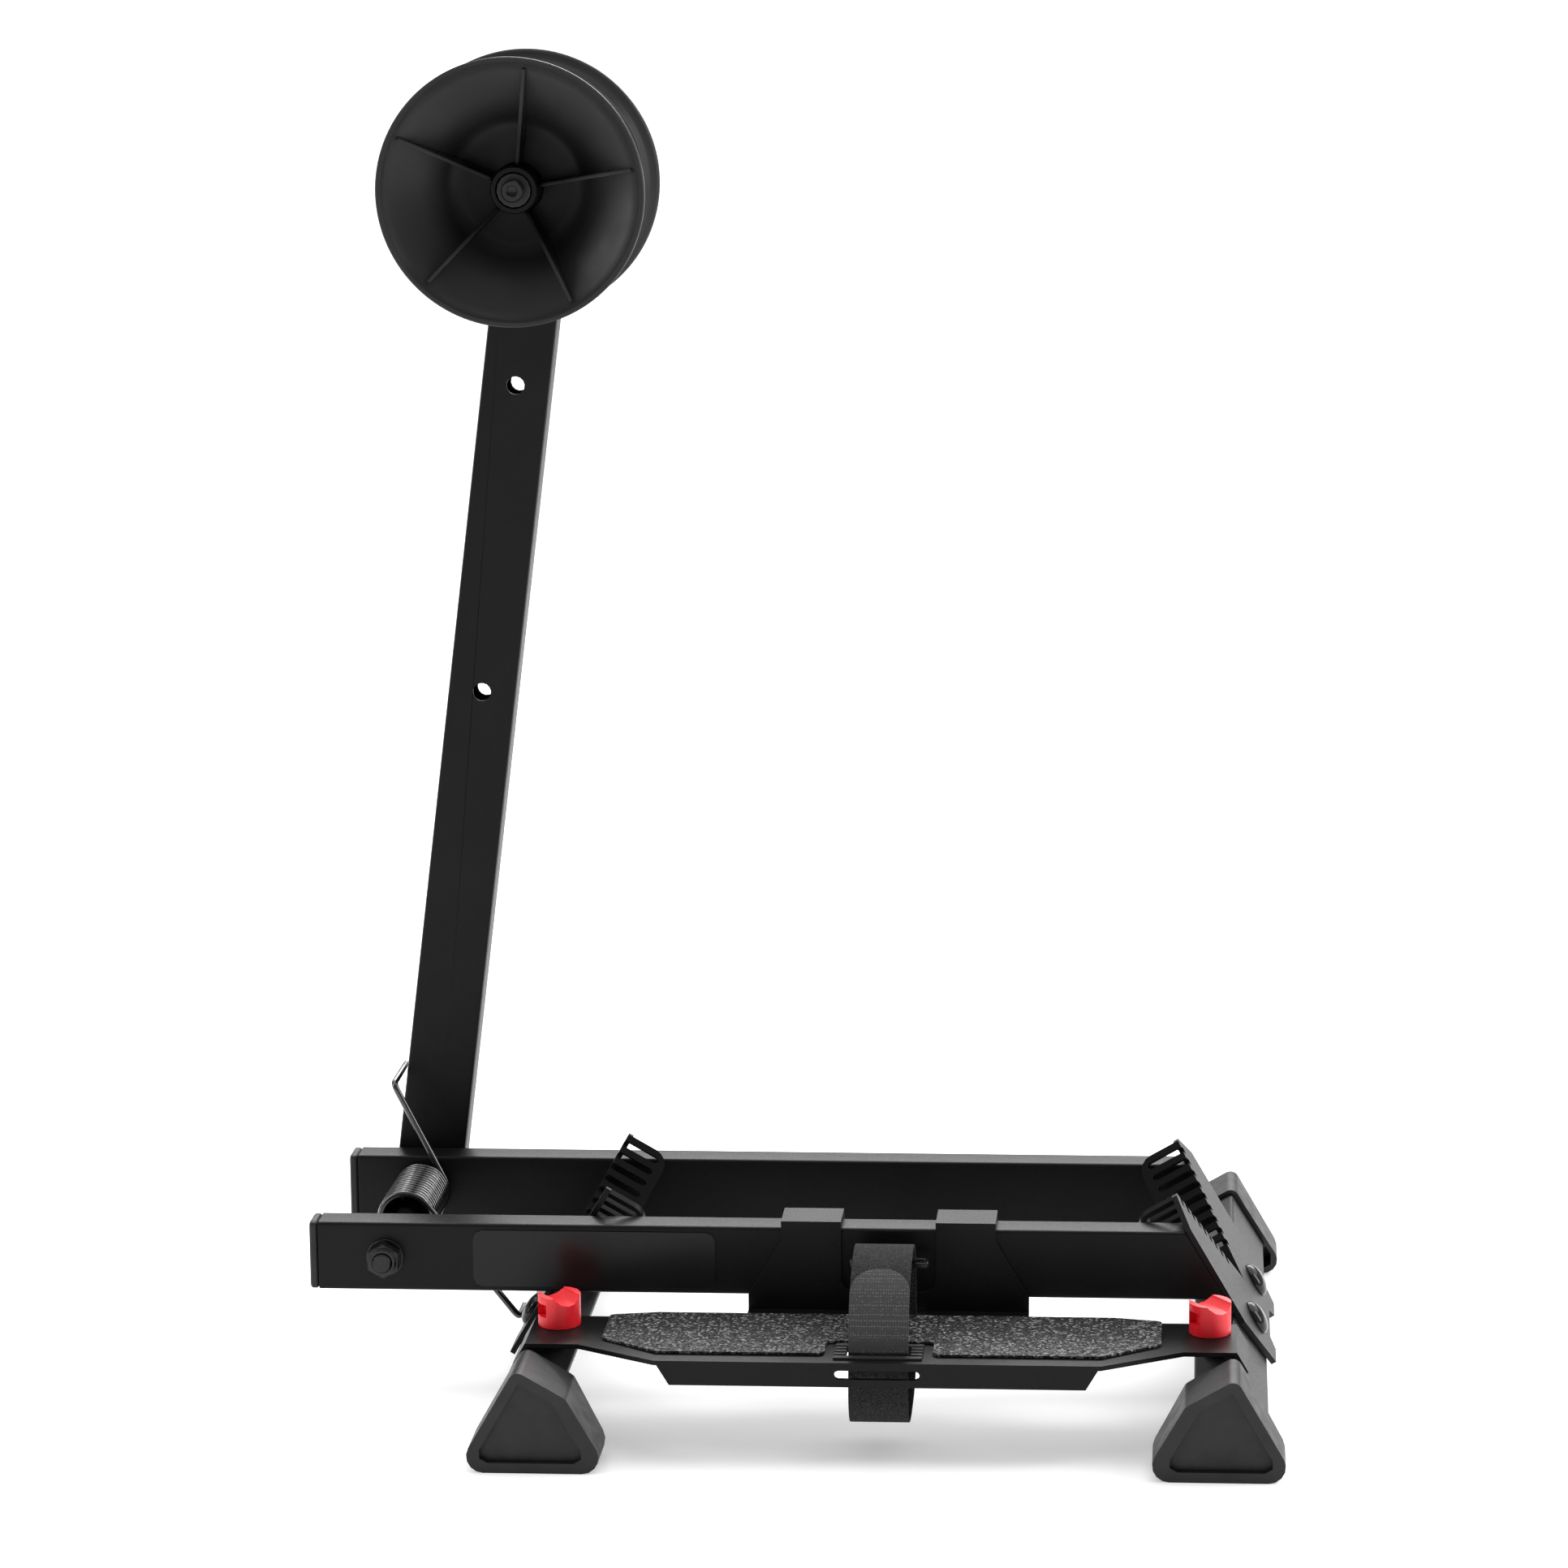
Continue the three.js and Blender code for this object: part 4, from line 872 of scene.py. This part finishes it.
class STAND_OT_knobs(bpy.types.Operator):
    """Red twist knobs with a saddle across the top"""

    bl_idname = "stand.knobs"
    bl_label = "Twist Knobs"

    def execute(self, context):
        for node in ("left_knob", "right_knob"):
            dress(node, 0.9 * MM, segments=4, degrees=40)
        return {"FINISHED"}


class STAND_OT_tread(bpy.types.Operator):
    """Gritty sheet on the step plate"""

    bl_idname = "stand.tread"
    bl_label = "Tread"

    def execute(self, context):
        dress("grip_pad", 0.3 * MM, segments=2)
        return {"FINISHED"}


class STAND_OT_badge(bpy.types.Operator):
    """Blank film on the near rail"""

    bl_idname = "stand.badge"
    bl_label = "Badge"

    def execute(self, context):
        dress("rail_badge", 0.12 * MM, segments=2)
        return {"FINISHED"}


class STAND_OT_strap(bpy.types.Operator):
    """Loop tape round the step plate, with a rounded tab of hook tape pressed on its front"""

    bl_idname = "stand.strap"
    bl_label = "Strap"

    # The loop's middle line in mm, as (Y, Z), from the tab's upper end over the back and round.
    LINE = (
        (-155, 57), (-152.5, 70), (-142, 86), (-124.5, 96.5),
        (-107, 99.5), (-94.5, 95), (-86.5, 82), (-83.5, 64),
        (-83.5, 46), (-88, 31), (-101, 21), (-119, 16.5),
        (-137, 15), (-150, 18.5), (-157, 28.5), (-157.5, 43),
    )
    TAB_THICKNESS = 0.9 * MM

    def curve(self, steps=240):
        """Points round the strap's middle line, in Y and Z."""
        knots = [Vector(point) * MM for point in self.LINE]
        count = len(knots)
        points = []
        for k in range(steps):
            i, t = divmod(k * count / steps, 1)
            a, b, c, d = (knots[(int(i) + j) % count] for j in (-1, 0, 1, 2))
            spot = 2 * b + (c - a) * t
            spot += (2 * a - 5 * b + 4 * c - d) * t**2
            spot += (3 * b - a - 3 * c + d) * t**3
            points.append(0.5 * spot)
        return points

    def normals(self, points):
        """The direction outwards from the loop at each of its points."""
        neighbours = zip(points[-1:] + points, points[1:] + points[:1])
        tangents = [(after - before).normalized() for before, after in neighbours]
        return [Vector((-along.y, along.x)) for along in tangents]

    def tab_widths(self, points, width, length):
        """The tab's width at each point: whole, then rounded off over the last half width."""
        run, widths = 0.0, []
        for before, point in zip(points[:1] + points, points):
            run += (point - before).length
            if run > length:
                break
            inset = max(0.0, width / 2 - (length - run))
            widths.append(2 * math.sqrt((width / 2) ** 2 - inset**2))
        return widths

    def band(self, line, normals, widths, lifts, centre, closed):
        """A tape between two lifts off the line. Its width can change along the way."""
        inner, outer = lifts
        bm = bmesh.new()
        rows = []
        for point, normal, width in zip(line, normals, widths):
            row = []
            for side, lift in ((-1, inner), (1, inner), (1, outer), (-1, outer)):
                spot = point + normal * lift
                row.append(bm.verts.new((centre + side * width / 2, spot.x, spot.y)))
            rows.append(row)
        pairs = list(zip(rows, rows[1:])) + ([(rows[-1], rows[0])] if closed else [])
        for a, b in pairs:
            for k in range(4):
                bm.faces.new([a[k], a[(k + 1) % 4], b[(k + 1) % 4], b[k]])
        if not closed:
            bm.faces.new(rows[0])
            bm.faces.new(rows[-1])
        bmesh.ops.recalc_face_normals(bm, faces=bm.faces)
        mesh = bpy.data.meshes.new("band")
        bm.to_mesh(mesh)
        bm.free()
        return mesh

    def execute(self, context):
        sizes = context.scene.stand_strap
        low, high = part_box("strap")
        centre = (low.x + high.x) / 2
        line = self.curve()
        normals = self.normals(line)
        half = sizes.thickness / 2
        widths = [sizes.width] * len(line)
        loop = self.band(line, normals, widths, (-half, half), centre, closed=True)
        piece = stand_for("strap", smooth_by_angle(loop, 40), "webbing", "strap_loop_tape")
        soften(piece, 0.45 * MM, segments=3, degrees=50)
        widths = self.tab_widths(line, sizes.width, sizes.tab)
        lifts = (half, half + self.TAB_THICKNESS)
        over = self.band(line, normals, widths, lifts, centre, closed=False)
        over = smooth_by_angle(over, 40)
        tab = add_piece("strap_hook_tab", over, "frame", "webbing", "hook_tape")
        soften(tab, 0.25 * MM, segments=2, degrees=50)
        return {"FINISHED"}


class STAND_OT_stage(bpy.types.Operator):
    """Pale floor, soft studio lights and the camera"""

    bl_idname = "stand.stage"
    bl_label = "Stage"

    CAMERA = (0.2199, -2.552, 0.885)
    SIGHT = (-0.0397, 1.0, -0.1838)
    SHIFT = (-0.15, -0.1)
    LENS = 110
    # Name, place, target, width and height in metres, and power in watts.
    SOFTBOXES = (
        ("Left Softbox", (-2.2, -0.3, 1.3), (-0.1, 0, 0.35), (0.6, 1.8), 22),
        ("Right Softbox", (2.2, 0.1, 1.3), (0.1, 0, 0.3), (0.7, 1.8), 34),
        ("Back Softbox", (0.2, 2.4, 1.5), (0, 0, 0.3), (2.6, 1.0), 40),
    )
    DOME_STRENGTH, DOME_DEGREES = 2.8, 85
    DOME_TURN = (math.radians(-28), math.radians(8), 0)
    SKY_STRENGTH = 0.4
    FLOOR_REACH = 60

    def light(self, name, place, target, size, power):
        data = bpy.data.lights.new(name, "AREA")
        data.shape, data.size, data.size_y, data.energy = "RECTANGLE", *size, power
        lamp = bpy.data.objects.new(name, data)
        lamp.location = place
        lamp.rotation_euler = (Vector(target) - Vector(place)).to_track_quat("-Z", "Y").to_euler()
        bpy.context.scene.collection.objects.link(lamp)

    def overhead(self):
        data = bpy.data.lights.new("Overhead Dome", "SUN")
        data.energy, data.angle = self.DOME_STRENGTH, math.radians(self.DOME_DEGREES)
        lamp = bpy.data.objects.new("Overhead Dome", data)
        lamp.rotation_euler = self.DOME_TURN
        bpy.context.scene.collection.objects.link(lamp)

    def floor(self):
        bm = bmesh.new()
        bmesh.ops.create_grid(bm, x_segments=8, y_segments=8, size=self.FLOOR_REACH)
        mesh = bpy.data.meshes.new("studio_floor")
        bm.to_mesh(mesh)
        bm.free()
        mesh.materials.append(finish_of("floor"))
        floor = bpy.data.objects.new("studio_floor", mesh)
        bpy.context.scene.collection.objects.link(floor)

    def camera(self, scene):
        data = bpy.data.cameras.new("Camera")
        data.lens, data.sensor_width = self.LENS, 36
        data.shift_x, data.shift_y = self.SHIFT
        camera = bpy.data.objects.new("Camera", data)
        camera.location = self.CAMERA
        camera.rotation_euler = Vector(self.SIGHT).to_track_quat("-Z", "Y").to_euler()
        scene.collection.objects.link(camera)
        scene.camera = camera

    def execute(self, context):
        self.camera(context.scene)
        self.floor()
        for softbox in self.SOFTBOXES:
            self.light(*softbox)
        self.overhead()
        world = context.scene.world or bpy.data.worlds.new("Studio")
        context.scene.world = world
        world.use_nodes = True
        sky = world.node_tree.nodes["Background"]
        sky.inputs["Color"].default_value = (1, 1, 1, 1)
        sky.inputs["Strength"].default_value = self.SKY_STRENGTH
        context.scene.view_settings.view_transform = "Standard"
        return {"FINISHED"}


# ---------------------------------------------------------------- the panel, and running it all

GROUPS = {
    "stand_colours": StandColours,
    "stand_roller": RollerSizes,
    "stand_spring": SpringSizes,
    "stand_strap": StrapSizes,
}
OPERATORS = (
    STAND_OT_stage,
    STAND_OT_painted_steel,
    STAND_OT_feet_and_caps,
    STAND_OT_hardware,
    STAND_OT_torsion_spring,
    STAND_OT_roller,
    STAND_OT_knobs,
    STAND_OT_tread,
    STAND_OT_badge,
    STAND_OT_strap,
)


class STAND_PT_pieces(bpy.types.Panel):
    """Lists the stand's pieces and their sizes"""

    bl_idname = "STAND_PT_pieces"
    bl_label = "Bicycle Floor Stand"
    bl_space_type = "VIEW_3D"
    bl_region_type = "UI"
    bl_category = "Floor Stand"

    def draw(self, context):
        for name, group in GROUPS.items():
            box = self.layout.box()
            box.label(text=group.__doc__.strip("."))
            for prop in group.__annotations__:
                box.prop(getattr(context.scene, name), prop)
        for operator in OPERATORS:
            self.layout.operator(operator.bl_idname)


CLASSES = (*GROUPS.values(), *OPERATORS, STAND_PT_pieces)


def register():
    for added in CLASSES:
        bpy.utils.register_class(added)
    for name, group in GROUPS.items():
        setattr(bpy.types.Scene, name, PointerProperty(type=group))


def unregister():
    for name in GROUPS:
        delattr(bpy.types.Scene, name)
    for added in reversed(CLASSES):
        bpy.utils.unregister_class(added)


def main():
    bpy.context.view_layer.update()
    register()
    for operator in OPERATORS:
        getattr(bpy.ops.stand, operator.bl_idname.split(".")[1])()


if __name__ == "__main__":
    main()
